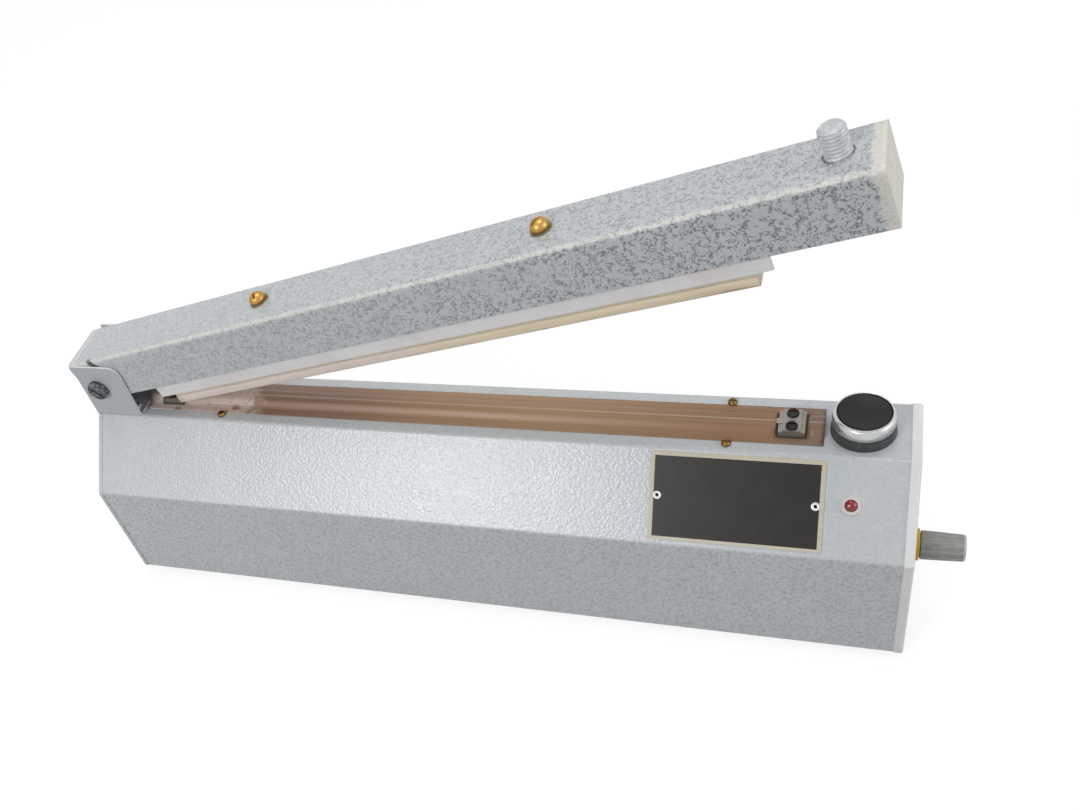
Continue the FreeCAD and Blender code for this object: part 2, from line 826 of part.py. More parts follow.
def bracket_rivets():
    """Four rivets through the bracket's floor and the shell's top."""
    grip = "(dim.ear_sheet + dim.shell_sheet)"
    outline = [
        ("0", f"(-{grip} - dim.rivet_head_tall)"),
        ("dim.rivet_head * 0.36", f"(-{grip} - dim.rivet_head_tall)"),
        (half("dim.rivet_head"), f"(-{grip})"),
        (half("dim.rivet_size"), f"(-{grip})"),
        (half("dim.rivet_size"), "0"),
        (half("dim.rivet_head"), "0"),
        ("dim.rivet_head * 0.36", "dim.rivet_head_tall"),
        ("0", "dim.rivet_head_tall"),
    ]
    rivet = turned("bracket_rivet_pattern", "XZ_Plane", "V_Axis", outline)
    copies("bracket_rivets", rivet, [(x, y, f"({TOP} + dim.ear_sheet)") for x, y in bracket_rivet_spots()])


def hinge_pin():
    """The shoulder bolt that the arm turns on: its head is on the front ear."""
    reach = f"({EAR_OUTER} + dim.nut_tall + 1.5)"
    outline = [
        ("0", f"-({EAR_OUTER} + dim.pin_head_tall)"),
        ("dim.pin_head * 0.4", f"-({EAR_OUTER} + dim.pin_head_tall)"),
        (half("dim.pin_head"), f"-({EAR_OUTER} + dim.pin_head_tall * 0.55)"),
        (half("dim.pin_head"), negative(EAR_OUTER)),
        (half("dim.pin_size"), negative(EAR_OUTER)),
        (half("dim.pin_size"), reach),
        ("0", reach),
    ]
    body = turned("hinge_pin", "XY_Plane", "V_Axis", outline)
    face = f"({EAR_OUTER} + dim.pin_head_tall)"
    slot = draw(body, "slot", "XZ_Plane", face, [centred("0", "0", "dim.pin_head * 1.2", "1.6")])
    cut(body, slot, "1.4")
    place(body, PIVOT_X, "0", PIVOT_Z)
    keep(body, "hinge_pin")
    nut = nut_pattern("hinge_nut", "dim.nut_across", "dim.nut_tall", "dim.pin_size + 0.1")
    place(nut, PIVOT_X, EAR_OUTER, PIVOT_Z, V(1, 0, 0), "-90")
    keep(nut, "hinge_nut")


def hinge_bush():
    """The tube between the arm's walls, which turns on the pin."""
    length = "(dim.arm_width - 2 * dim.arm_sheet)"
    bore = "(dim.pin_size + dim.pin_fit)"
    circles = [("0", "0", f"({bore} + 2 * dim.bush_wall)"), ("0", "0", bore)]
    body = prism("hinge_bush", "XZ_Plane", "0", length, (), circles, symmetric=True)
    place_on_arm(body)
    keep(body, "hinge_bush")


def return_spring():
    """The torsion spring round the bush: one leg on the bracket's floor, one under the arm."""
    wire = value("dim.spring_wire")
    inner = value("(dim.pin_size + dim.pin_fit) / 2 + dim.bush_wall + dim.spring_room")
    mean = inner + wire / 2
    turns = value("dim.spring_turns")
    open_angle = value("dim.open_angle")
    arm_lean = 12.0
    floor_lean = 42.0
    ceiling = value(f"{ARM_CEILING}") - wire / 2 - 0.1
    floor_drop = value("dim.pivot_height - dim.ear_sheet") - wire / 2 - 0.1
    rise_angle = math.radians(arm_lean)
    arm_leg = (ceiling - mean * math.cos(rise_angle)) / math.sin(rise_angle)
    fall_angle = math.radians(floor_lean)
    floor_leg = (floor_drop - mean * math.cos(fall_angle)) / math.sin(fall_angle)
    start_angle = 90.0 + open_angle + arm_lean
    end_angle = 270.0 - floor_lean
    whole = turns + (end_angle - start_angle) / 360.0
    rise = whole * (wire + 0.15)
    spring = coil("return_spring", mean, wire, rise, whole, min(arm_leg, 26.0), floor_leg)
    turn = math.radians(start_angle)
    axis_x = V(math.cos(turn), 0, math.sin(turn))
    axis_y = V(-math.sin(turn), 0, math.cos(turn))
    axis_z = axis_x.cross(axis_y)
    matrix = FreeCAD.Matrix(
        axis_x.x, axis_y.x, axis_z.x, value(PIVOT_X) - value(ORIGIN_X),
        axis_x.y, axis_y.y, axis_z.y, rise / 2,
        axis_x.z, axis_y.z, axis_z.z, value(PIVOT_Z),
        0, 0, 0, 1,
    )
    spring.Placement = FreeCAD.Placement(matrix)
    keep(spring, "return_spring")


# ----------------------------------------------------------------------- arm


def arm_channel():
    """The inverted channel of the arm, open below."""
    wall = half("dim.arm_width")
    inside = f"({wall} - dim.arm_sheet)"
    outer = [(wall, ARM_BOTTOM), (wall, "dim.arm_over_pivot")]
    inner = [(inside, ARM_CEILING), (inside, ARM_BOTTOM)]
    outline = outer + [(negative(y), z) for y, z in reversed(outer)]
    outline += [(negative(y), z) for y, z in reversed(inner)] + inner
    length = f"({ARM_RIGHT} - {ARM_LEFT} - 2 * dim.arm_end_sheet)"
    start = f"({ARM_LEFT} + dim.arm_end_sheet)"
    body = prism("arm_channel", "YZ_Plane", start, length, [outline])
    top = value("dim.arm_over_pivot")
    ceiling = value(ARM_CEILING)

    def at_height(level):
        return lambda edge: runs_along(edge, 0) and near(edge.Vertexes[0].Point.z, level)

    soften(body, "inner_bends", "dim.arm_bend", at_height(ceiling))
    soften(body, "outer_bends", "dim.arm_bend + dim.arm_sheet", at_height(top))
    reach = half("dim.guide_spread")
    holes = [(STUD_ALONG, "0", "dim.stud_hole")]
    holes += [(f"({BAR_ALONG} + {way} * {reach})", "0", "dim.guide_size + 0.6") for way in (-1, 1)]
    cut(body, draw(body, "top_holes", "XY_Plane", "dim.arm_over_pivot", (), holes), "dim.arm_sheet * 2")
    bores = draw(body, "pin_bores", "XZ_Plane", "0", (), [("0", "0", "dim.pin_size + dim.pin_fit")])
    cut(body, bores, symmetric=True)
    place_on_arm(body)
    keep(body, "arm_channel")


def arm_end(name, start, tongue):
    """A plate that closes one end of the arm. The left one reaches down as the opening stop."""
    wall = half("dim.arm_width")
    corner = "(dim.arm_bend + dim.arm_sheet)"
    body = new_body(name)
    face = both_sides([(wall, ARM_BOTTOM), (wall, "dim.arm_over_pivot")])
    add_pad(body, draw(body, "face", "YZ_Plane", start, [face]), "dim.arm_end_sheet")
    top = value("dim.arm_over_pivot")
    soften(
        body,
        "corners",
        corner,
        lambda edge: runs_along(edge, 0) and near(edge.Vertexes[0].Point.z, top),
    )
    if tongue:
        side = half("dim.stop_width")
        drop = "(dim.pivot_height - dim.ear_sheet - dim.stop_gap - dim.pivot_inset * sin(dim.open_angle))"
        foot = f"(-{drop} / cos(dim.open_angle))"
        lip = rectangle(negative(side), side, foot, f"({ARM_BOTTOM} + 1)")
        add_pad(body, draw(body, "stop", "YZ_Plane", start, [lip]), "dim.arm_end_sheet")
    place_on_arm(body)
    keep(body, name)


def adjusting_stud():
    """The stud that meets the push button, in a tapped bridge under the arm's top."""
    foot = f"({CAP_TOP} - {PIVOT_Z} + dim.stud_clear)"
    chamfer = "1.2"
    outline = [
        ("0", foot),
        (f"(dim.stud_size / 2 - {chamfer})", foot),
        (half("dim.stud_size"), f"({foot} + {chamfer})"),
        (half("dim.stud_size"), f"(dim.stud_above - {chamfer})"),
        (f"(dim.stud_size / 2 - {chamfer})", "dim.stud_above"),
        ("0", "dim.stud_above"),
    ]
    stud = turned("adjusting_stud", "XZ_Plane", "V_Axis", outline)
    keep(place_on_arm(stud, STUD_ALONG), "adjusting_stud")
    bridge_foot = f"({ARM_CEILING} - dim.bridge_tall)"
    wide = "(dim.arm_width - 2 * dim.arm_sheet - 2 * dim.arm_bend)"
    bridge = prism(
        "stud_bridge",
        "XY_Plane",
        bridge_foot,
        "dim.bridge_tall",
        [centred("0", "0", "dim.bridge_long", wide)],
        [("0", "0", "dim.stud_size + dim.stud_fit")],
    )
    keep(place_on_arm(bridge, STUD_ALONG), "stud_bridge")
    bore = "dim.stud_size + dim.stud_fit"
    nut = nut_pattern("stud_lock_nut", "dim.stud_nut_across", "dim.stud_nut_tall", bore)
    keep(place_on_arm(nut, STUD_ALONG, "0", f"({bridge_foot} - dim.stud_nut_tall)"), "stud_lock_nut")


# -------------------------------------------------------------- pressure bar


def pressure_rail():
    """The channel that hangs in the arm on two guide screws and holds the rubber strip."""
    wall = half(RAIL_WIDTH)
    inside = f"({wall} - dim.rail_sheet)"
    foot = f"({RAIL_TOP} - dim.rail_height)"
    web = f"({RAIL_TOP} - dim.rail_sheet)"
    outer = [(wall, foot), (wall, RAIL_TOP)]
    inner = [(inside, web), (inside, foot)]
    outline = outer + [(negative(y), z) for y, z in reversed(outer)]
    outline += [(negative(y), z) for y, z in reversed(inner)] + inner
    body = prism("pressure_rail", "YZ_Plane", negative(half(SEAL_LENGTH)), SEAL_LENGTH, [outline])
    holes = [(x, "0", "dim.guide_size + 0.1") for x in guide_spots()]
    cut(body, draw(body, "guide_holes", "XY_Plane", RAIL_TOP, (), holes), "dim.rail_sheet * 2")
    keep(place_on_arm(body, BAR_ALONG), "pressure_rail")


def guide_spots():
    reach = half("dim.guide_spread")
    return [negative(reach), reach]


def silicone_strip():
    """The rubber strip in the rail, with pockets over the guide nuts, and its cloth wrap."""
    wall = half(STRIP_WIDTH)
    length = f"({SEAL_LENGTH} - 2 * dim.strip_setback)"
    foot = f"({STRIP_FOOT} + dim.wrap_sheet + dim.wrap_clear)"
    head = f"({foot} + dim.strip_height)"
    corner = "1.5"
    half_outline = [
        (f"({wall} - {corner})", foot),
        (wall, f"({foot} + {corner})"),
        (wall, head),
    ]
    body = prism("silicone_strip", "YZ_Plane", negative(half(length)), length, [both_sides(half_outline)])
    pockets = [(x, "0", "dim.guide_nut_across * 1.3") for x in guide_spots()]
    cut(body, draw(body, "nut_pockets", "XY_Plane", head, (), pockets), "dim.guide_nut_tall + 1.4")
    keep(place_on_arm(body, BAR_ALONG), "silicone_strip")

    inner = [
        (f"({wall} - {corner} + dim.wrap_clear)", f"({foot} - dim.wrap_clear)"),
        (f"({wall} + dim.wrap_clear)", f"({foot} + {corner} - dim.wrap_clear)"),
        (f"({wall} + dim.wrap_clear)", f"({STRIP_FOOT} + dim.wrap_height)"),
    ]
    outer = [
        (f"({wall} + dim.wrap_clear + dim.wrap_sheet)", f"({STRIP_FOOT} + dim.wrap_height)"),
        (f"({wall} + dim.wrap_clear + dim.wrap_sheet)", f"({STRIP_FOOT} + {corner})"),
        (f"({wall} - {corner} + dim.wrap_clear + dim.wrap_sheet)", STRIP_FOOT),
    ]
    right = inner + outer
    left = [(negative(y), z) for y, z in reversed(right)]
    outline = right + left
    wrap = prism("strip_wrap", "YZ_Plane", negative(half(length)), length, [outline])
    keep(place_on_arm(wrap, BAR_ALONG), "strip_wrap")


def guide_hardware():
    """Brass guide screws with washers on the arm's top, springs inside and nuts in the rail."""
    seat = "(dim.arm_over_pivot + dim.washer_sheet)"
    web_foot = f"({RAIL_TOP} - dim.rail_sheet)"
    length = f"({seat} - {web_foot} + dim.guide_nut_tall + 0.6)"
    screw = screw_pattern(
        "guide_screw_pattern",
        "dim.guide_size",
        length,
        "dim.guide_head",
        "dim.guide_head_tall",
        "1.2",
    )
    along = [f"({BAR_ALONG} + {x})" for x in guide_spots()]
    copies("guide_screws", screw, [(x, "0", seat) for x in along], place_on_arm)
    bore = "dim.guide_size + 0.4"
    washer = ring_pattern("guide_washer_pattern", "dim.guide_washer", bore, "dim.washer_sheet")
    copies("guide_washers", washer, [(x, "0", "dim.arm_over_pivot") for x in along], place_on_arm)
    bore = "dim.guide_size + 0.1"
    nut = nut_pattern("guide_nut_pattern", "dim.guide_nut_across", "dim.guide_nut_tall", bore)
    copies("guide_nuts", nut, [(x, "0", f"({web_foot} - dim.guide_nut_tall)") for x in along], place_on_arm)

    wire = value("dim.bar_spring_wire")
    room = value(f"{ARM_CEILING} - {RAIL_TOP}")
    mean = value("dim.guide_size") / 2 + wire / 2 + 1.2
    spring = coil("bar_spring_pattern", mean, wire, room - wire - 0.2, value("dim.bar_spring_turns"))
    start = f"({RAIL_TOP} + dim.bar_spring_wire / 2 + 0.1)"
    copies("bar_springs", spring, [(x, "0", start) for x in along], place_on_arm)


# ---------------------------------------------------------------------- seal


def seal_former():
    """The insulating former on the base's top that lifts the ribbon."""
    foot = half("dim.former_foot")
    crown = half("dim.former_top")
    section = both_sides([(foot, TOP), (foot, f"({TOP} + 0.6)"), (crown, f"({TOP} + dim.former_tall)")])
    start = f"({SEAL_X} - {FORMER_LENGTH} / 2)"
    keep(prism("seal_former", "YZ_Plane", start, FORMER_LENGTH, [section]), "seal_former")


def heating_ribbon():
    """The flat ribbon on the former, bent down at both ends onto the terminal blocks."""
    top = f"({TOP} + dim.former_tall)"
    crest = f"({top} + dim.ribbon_thick)"
    rest = f"({BLOCK_TOP} + dim.ribbon_thick)"
    edge = f"({FORMER_LENGTH} / 2 + 0.3)"
    tip = f"({TERMINAL_SPAN} / 2 - dim.block_long / 2)"
    end = f"({TERMINAL_SPAN} / 2 + dim.block_long * 0.4)"
    upper = [(end, BLOCK_TOP), (end, rest), (tip, rest), (edge, crest)]
    lower = [(edge, top), (tip, BLOCK_TOP)]
    outline = upper + [(negative(x), z) for x, z in reversed(upper)]
    outline += [(negative(x), z) for x, z in reversed(lower)] + lower
    body = prism("heating_ribbon", "XZ_Plane", "0", "dim.ribbon_wide", [outline], symmetric=True)
    place(body, SEAL_X)
    keep(body, "heating_ribbon")


def ptfe_cloth():
    """The release cloth stretched over the former, with a window over each terminal."""
    side = half("dim.cloth_width")
    foot = "(dim.former_foot / 2 + 1.2)"
    crown = "(dim.former_top / 2 + 0.25)"
    low = f"({TOP} + 0.05)"
    lift = f"({TOP} + dim.former_tall + dim.ribbon_thick + dim.cloth_clear)"
    under = [(side, low), (foot, low), (crown, lift)]
    over = [(crown, f"({lift} + dim.cloth_thick)"), (f"({foot} + 0.15)", f"({low} + dim.cloth_thick)")]
    over.append((side, f"({low} + dim.cloth_thick)"))
    outline = [(negative(y), z) for y, z in under] + list(reversed(under))
    outline += list(reversed(over)) + [(negative(y), z) for y, z in over]
    start = f"(dim.ear_length - {HALF_LENGTH})"
    length = "(dim.base_length - dim.ear_length - dim.cloth_right_inset)"
    body = prism("ptfe_cloth", "YZ_Plane", start, length, [outline])
    windows = []
    for way in (-1, 1):
        middle = f"({SEAL_X} + {way} * ({TERMINAL_SPAN} / 2 - 1))"
        windows.append(centred(middle, "0", "dim.cloth_window", "dim.cloth_window_wide"))
    cut(body, draw(body, "windows", "XY_Plane", f"({TOP} + 6)", windows), "7")
    keep(body, "ptfe_cloth")


def terminals():
    """Two metal blocks on insulating pads, whose clamps hold the ribbon's ends under screws."""
    pad_top = f"({TOP} - dim.shell_sheet)"
    pad_foot = f"({pad_top} - dim.pad_thick)"
    long = "(dim.opening_long + 2 * dim.pad_margin)"
    wide = "(dim.opening_wide + 2 * dim.pad_margin)"
    gap = half("dim.terminal_screw_gap")
    spots = [(f"({SEAL_X} + {way} * {TERMINAL_SPAN} / 2)",) for way in (-1, 1)]
    holes = [("0", f"({side} * {gap})", "dim.screw_size + 0.1") for side in (-1, 1)]

    def layer(name, low, tall, wide_x, wide_y):
        pattern = prism(f"{name}_pattern", "XY_Plane", low, tall, [centred("0", "0", wide_x, wide_y)], holes)
        copies(name, pattern, spots)

    clamp_foot = f"({BLOCK_TOP} + dim.ribbon_thick)"
    layer("terminal_pads", pad_foot, "dim.pad_thick", long, wide)
    layer("terminal_blocks", pad_top, "dim.block_tall", "dim.block_long", "dim.block_wide")
    layer("terminal_clamps", clamp_foot, "dim.clamp_thick", "(dim.block_long * 0.7)", "dim.block_wide")
    screw = screw_pattern(
        "terminal_screw_pattern",
        "dim.screw_size",
        "(dim.clamp_thick + dim.block_tall + dim.pad_thick + 2)",
        "dim.terminal_screw_head",
        "dim.screw_head_tall",
        "dim.screw_slot",
    )
    crown = f"({clamp_foot} + dim.clamp_thick)"
    heads = [(spot[0], f"({side} * {gap})", crown) for spot in spots for side in (-1, 1)]
    copies("terminal_screws", screw, heads)


def cloth_screws():
    """Small brass screws that hold the cloth's long edges."""
    screw = screw_pattern(
        "cloth_screw_pattern",
        "(dim.cloth_screw - 0.1)",
        "5",
        "dim.cloth_screw_head",
        "1.5",
        "0.6",
    )
    spots = [(x, y, f"({TOP} + 0.05 + dim.cloth_thick)") for x, y in cloth_screw_spots()]
    copies("cloth_screws", screw, spots)


# --------------------------------------------------------------- push button


def push_button():
    """A panel push button: collar, bezel, cap, ring nut, contact block and spring."""
    floor = f"({TOP} - 4)"
    barrel_foot = f"({TOP} - dim.shell_sheet - dim.barrel_long)"
    stem_bore = "(dim.cap_stem / 2 + dim.cap_fit)"
    collar = "(dim.barrel_size / 2 + dim.collar_rim)"
    collar_edge = f"({collar} - dim.collar_taper)"
    bore = f"({collar} - dim.collar_wall)"
    collar_top = f"({TOP} + dim.collar_tall)"
    shelf = f"({TOP} + dim.collar_shelf)"
    outline = [
        (stem_bore, barrel_foot),
        (half("dim.barrel_size"), barrel_foot),
        (half("dim.barrel_size"), TOP),
        (collar, TOP),
        (collar_edge, collar_top),
        (bore, collar_top),
        (bore, shelf),
        (half("dim.spring_bore"), shelf),
        (half("dim.spring_bore"), floor),
        (stem_bore, floor),
    ]
    housing = turned("button_housing", "XZ_Plane", "V_Axis", outline)
    keep(place(housing, BUTTON_X), "button_housing")

    cap_edge = f"({bore} - dim.cap_fit)"
    opening = f"({cap_edge} + dim.bezel_gap)"
    brim = f"({collar_edge} - dim.bezel_seat)"
    rim = [
        (opening, collar_top),
        (brim, collar_top),
        (brim, f"({collar_top} + dim.bezel_tall * 0.55)"),
        (f"({brim} - 0.9)", f"({collar_top} + dim.bezel_tall)"),
        (f"({opening} + 0.3)", f"({collar_top} + dim.bezel_tall)"),
        (opening, f"({collar_top} + dim.bezel_tall - 0.5)"),
    ]
    bezel = turned("button_bezel", "XZ_Plane", "V_Axis", rim)
    keep(place(bezel, BUTTON_X), "button_bezel")

    cap_foot = f"({CAP_TOP} - dim.cap_tall)"
    stem_foot = f"({barrel_foot} + dim.cap_travel + 1)"
    cap_outline = [
        ("0", stem_foot),
        (half("dim.cap_stem"), stem_foot),
        (half("dim.cap_stem"), cap_foot),
        (cap_edge, cap_foot),
        (cap_edge, f"({CAP_TOP} - 0.6)"),
        (f"({cap_edge} - 0.6)", CAP_TOP),
        ("0", CAP_TOP),
    ]
    cap = turned("button_cap", "XZ_Plane", "V_Axis", cap_outline)
    keep(place(cap, BUTTON_X), "button_cap")

    wire = value("dim.button_wire")
    room = value(f"{cap_foot} - {floor}")
    mean = value("dim.cap_stem") / 2 + wire + 1.5
    spring = coil("button_spring", mean, wire, room - wire - 0.2, 5.0)
    place(spring, BUTTON_X, "0", f"({floor} + dim.button_wire / 2 + 0.1)")
    keep(spring, "button_spring")

    rim = "dim.top_width - 2 * dim.ring_nut_gap"
    nut = ring_pattern("button_ring_nut", rim, "dim.barrel_size + 0.1", "dim.ring_nut_tall")
    place(nut, BUTTON_X, "0", f"({TOP} - dim.shell_sheet - dim.ring_nut_tall)")
    keep(nut, "button_ring_nut")
    block = prism(
        "contact_block",
        "XY_Plane",
        f"({barrel_foot} - dim.contact_tall)",
        "dim.contact_tall",
        [centred(f"({BUTTON_X} - 0.5)", "0", "dim.contact_long", "dim.contact_wide")],
    )
    keep(block, "contact_block")


# --------------------------------------------------------------- front facet


def nameplate():
    """The blank plate on the front facet and its two rivets."""
    holes = [(f"({x} - {PLATE_X})", "0", "dim.plate_rivet") for x in plate_rivet_x()]
    plate = prism(
        "nameplate",
        "XY_Plane",
        "0.02",
        "dim.plate_thick",
        [centred("0", "0", "dim.plate_long", "dim.plate_wide")],
        holes,
    )
    keep(place_on_facet(plate, PLATE_X, "dim.plate_slope"), "nameplate")
    rivet = screw_pattern(
        "plate_rivet_pattern",
        "(dim.plate_rivet - 0.1)",
        "(dim.plate_thick + dim.shell_sheet + 1)",
        "dim.plate_rivet_head",
        "1.1",
    )
    seat = "(dim.plate_thick + 0.02)"
    spots = [(x, "dim.plate_slope", seat) for x in plate_rivet_x()]
    copies("nameplate_rivets", rivet, spots, place_on_facet)


def signal_lamp():
    """The red signal lamp and the ring that holds it in the facet."""
    ring_outline = [
        ("(dim.lamp_size / 2 + 0.1)", "-4"),
        ("(dim.lamp_hole / 2 - 0.1)", "-4"),
        ("(dim.lamp_hole / 2 - 0.1)", "0.02"),
        (half("dim.lamp_ring"), "0.02"),
        ("(dim.lamp_ring / 2 - 0.5)", "1.0"),
        ("(dim.lamp_size / 2 + 0.1)", "1.0"),
    ]
    ring = turned("lamp_ring", "XZ_Plane", "V_Axis", ring_outline)
    keep(place_on_facet(ring, LAMP_X, "dim.lamp_slope"), "lamp_ring")
    body = "(dim.lamp_size / 2)"
    lamp_outline = [("0", "-6"), (body, "-6"), (body, "0.6")]
    lamp_outline += [(f"({body} * {math.cos(math.radians(turn)):.4f})",
                      f"(0.6 + {body} * 0.8 * {math.sin(math.radians(turn)):.4f})") for turn in (30, 60)]
    lamp_outline.append(("0", f"(0.6 + {body} * 0.8)"))
    lamp = turned("signal_lamp", "XZ_Plane", "V_Axis", lamp_outline)
    keep(place_on_facet(lamp, LAMP_X, "dim.lamp_slope"), "signal_lamp")


# --------------------------------------------------------------------- timer


def timer():
    """The potentiometer behind the right end plate, with its knob outside."""
    inner_face = f"({HALF_LENGTH} - dim.right_end_sheet)"
    bore = "(dim.shaft_size / 2 + 0.05)"
    back = f"({inner_face} - dim.pot_long)"
    nut_face = f"({HALF_LENGTH} + dim.pot_nut_tall)"
    pot_outline = [
        (back, bore),
        (back, half("dim.pot_size")),
        (inner_face, half("dim.pot_size")),
        (inner_face, half("dim.pot_bush")),
        (f"({nut_face} + 0.5)", half("dim.pot_bush")),
        (f"({nut_face} + 0.5)", bore),
    ]
    pot = turned("timer_pot", "XY_Plane", "H_Axis", pot_outline)
    keep(place(pot, "0", "dim.knob_y", "dim.knob_z"), "timer_pot")
    nut = nut_pattern("pot_nut", "dim.pot_nut_across", "dim.pot_nut_tall", "dim.pot_bush + 0.1")
    place(nut, HALF_LENGTH, "dim.knob_y", "dim.knob_z", V(0, 1, 0), "90")
    keep(nut, "pot_nut")
    opening = "dim.pot_nut_across / cos(30) + 0.3"
    ring = ring_pattern("knob_collar", "dim.collar_ring", opening, "dim.collar_ring_tall")
    place(ring, HALF_LENGTH, "dim.knob_y", "dim.knob_z", V(0, 1, 0), "90")
    keep(ring, "knob_collar")

    knob_foot = f"({HALF_LENGTH} + dim.collar_ring_tall + dim.knob_gap)"
    knob_end = f"({knob_foot} + dim.knob_long)"
    grip = half("dim.knob_size")
    knob_outline = [
        (knob_foot, bore),
        (knob_foot, grip),
        (f"({knob_end} - 0.8)", f"({grip} - 0.4)"),
        (knob_end, f"({grip} - 1.2)"),
        (knob_end, "0"),
        (f"({knob_end} - 4)", "0"),
        (f"({knob_end} - 4)", bore),
    ]
    knob = turned("timer_knob", "XY_Plane", "H_Axis", knob_outline)
    keep(place(knob, "0", "dim.knob_y", "dim.knob_z"), "timer_knob")
    shaft = turned(
        "timer_shaft",
        "XY_Plane",
        "H_Axis",
        [
            (f"({back} + 1)", "0"),
            (f"({back} + 1)", half("dim.shaft_size")),
            (f"({knob_end} - 4.1)", half("dim.shaft_size")),
            (f"({knob_end} - 4.1)", "0"),
        ],
    )
    keep(place(shaft, "0", "dim.knob_y", "dim.knob_z"), "timer_shaft")


# -------------------------------------------------------------------- inside


def transformer():
    """The low-voltage transformer that feeds the ribbon, on the bottom cover."""
    foot = f"({COVER_TOP} + dim.frame_sheet + 0.1)"
    middle = f"({foot} + dim.core_tall / 2)"
    window_x = "((dim.core_long - 2 * dim.core_yoke - dim.core_leg) / 2)"
    window_z = "(dim.core_tall - 2 * dim.core_yoke)"
    centre = f"(dim.core_leg / 2 + {window_x} / 2)"
    windows = [
        centred(plus("dim.core_x", f"{way} * {centre}"), middle, window_x, window_z) for way in (-1, 1)
    ]
    outline = centred("dim.core_x", middle, "dim.core_long", "dim.core_tall")
    core = prism("transformer_core", "XZ_Plane", "0", "dim.core_deep", [outline] + windows, symmetric=True)
    keep(core, "transformer_core")

    gap = "dim.winding_gap"
    tall = f"({window_z} / 2 - 1.5 * {gap})"
    across = f"(dim.core_leg + 2 * ({window_x} - {gap}))"
    deep = "(dim.core_deep + 2 * dim.winding_build)"
    hole = centred("dim.core_x", "0", f"(dim.core_leg + {gap})", f"(dim.core_deep + {gap})")
    for name, low in (
        ("secondary_winding", f"({middle} - {window_z} / 2 + {gap})"),
        ("primary_winding", f"({middle} + {gap} / 2)"),
    ):
        winding = prism(name, "XY_Plane", low, tall, [centred("dim.core_x", "0", across, deep), hole])
        keep(winding, name)

    side = f"(dim.core_long / 2 + 0.1)"
    outer = f"({side} + dim.frame_sheet)"
    lip = f"({outer} + dim.frame_foot)"
    crown = f"({foot} + dim.core_tall + 0.1)"
    base = COVER_TOP
    right = [
        (lip, base),
        (lip, f"({base} + dim.frame_sheet)"),
        (outer, f"({base} + dim.frame_sheet)"),
        (outer, f"({crown} + dim.frame_sheet)"),
    ]
    inner = [(side, crown), (side, base)]
    points = [(plus("dim.core_x", x), z) for x, z in right]
    points += [(minus("dim.core_x", x), z) for x, z in reversed(right)]
    points += [(minus("dim.core_x", x), z) for x, z in reversed(inner)]
    points += [(plus("dim.core_x", x), z) for x, z in inner]
    frame = prism("transformer_frame", "XZ_Plane", "0", "(dim.core_deep * 0.7)", [points], symmetric=True)
    holes = [(x, y, "dim.screw_hole") for x, y in frame_screw_spots()]
    holed = draw(frame, "foot_holes", "XY_Plane", f"({base} + dim.frame_sheet)", (), holes)
    cut(frame, holed, "dim.frame_sheet * 2")
    keep(frame, "transformer_frame")
    screw = screw_pattern(
        "frame_screw_pattern",
        "(dim.screw_size - 0.1)",
        "(dim.frame_sheet + dim.cover_sheet + 1)",
        "dim.screw_head",
        "dim.screw_head_tall",
        "dim.screw_slot",
    )
    copies("frame_screws", screw, [(x, "0", f"({base} + dim.frame_sheet)") for x, _, _ in holes])


def timer_board():
    """The timer's circuit board on four supports, with its relay and capacitor."""
    low = f"({COVER_TOP} + dim.board_lift)"
    top = f"({low} + dim.board_thick)"
    spots = []
    for way in (-1, 1):
        for side in (-1, 1):
            x = f"(dim.board_x + {way} * (dim.board_long / 2 - 4))"
            spots.append((x, f"({side} * (dim.board_wide / 2 - 4))"))
    holes = [(x, y, "dim.screw_hole") for x, y in spots]
    board = prism(
        "timer_board",
        "XY_Plane",
        low,
        "dim.board_thick",
        [centred("dim.board_x", "0", "dim.board_long", "dim.board_wide")],
        holes,
    )
    keep(board, "timer_board")
    support = turned(
        "board_support_pattern",
        "XZ_Plane",
        "V_Axis",
        [
            ("0", "0"),
            ("3", "0"),
            ("3", "dim.board_lift"),
            ("dim.screw_hole / 2 - 0.1", "dim.board_lift"),
            ("dim.screw_hole / 2 - 0.1", "dim.board_lift + dim.board_thick + 1.2"),
            ("0", "dim.board_lift + dim.board_thick + 1.2"),
        ],
    )
    copies("board_supports", support, [(x, y, COVER_TOP) for x, y in spots])
    relay = prism("timer_relay", "XY_Plane", top, "15.5", [centred("(dim.board_x + 14)", "8", "19", "15.5")])
    keep(relay, "timer_relay")
    can = prism("timer_capacitor", "XY_Plane", top, "24", (), [("(dim.board_x - 14)", "-8", "13")])
    keep(can, "timer_capacitor")


def cord_gland():
    """The gland in the back wall that a mains cord would pass through."""
    wall = "(dim.base_width / 2)"
    outline = [
        (f"({wall} - 6)", half("dim.gland_bore")),
        (f"({wall} - 6)", half("dim.gland_size")),
        (wall, half("dim.gland_size")),
        (wall, "(dim.gland_size / 2 + 2.5)"),
        (f"({wall} + 1.6)", "(dim.gland_size / 2 + 2.5)"),
        (f"({wall} + 2.6)", "(dim.gland_size / 2 + 1)"),
        (f"({wall} + 2.6)", half("dim.gland_bore")),
    ]
    flipped = [(radius, along) for along, radius in outline]
    gland = turned("cord_gland", "XY_Plane", "V_Axis", flipped)
    keep(place(gland, "dim.gland_x", "0", "dim.gland_z"), "cord_gland")


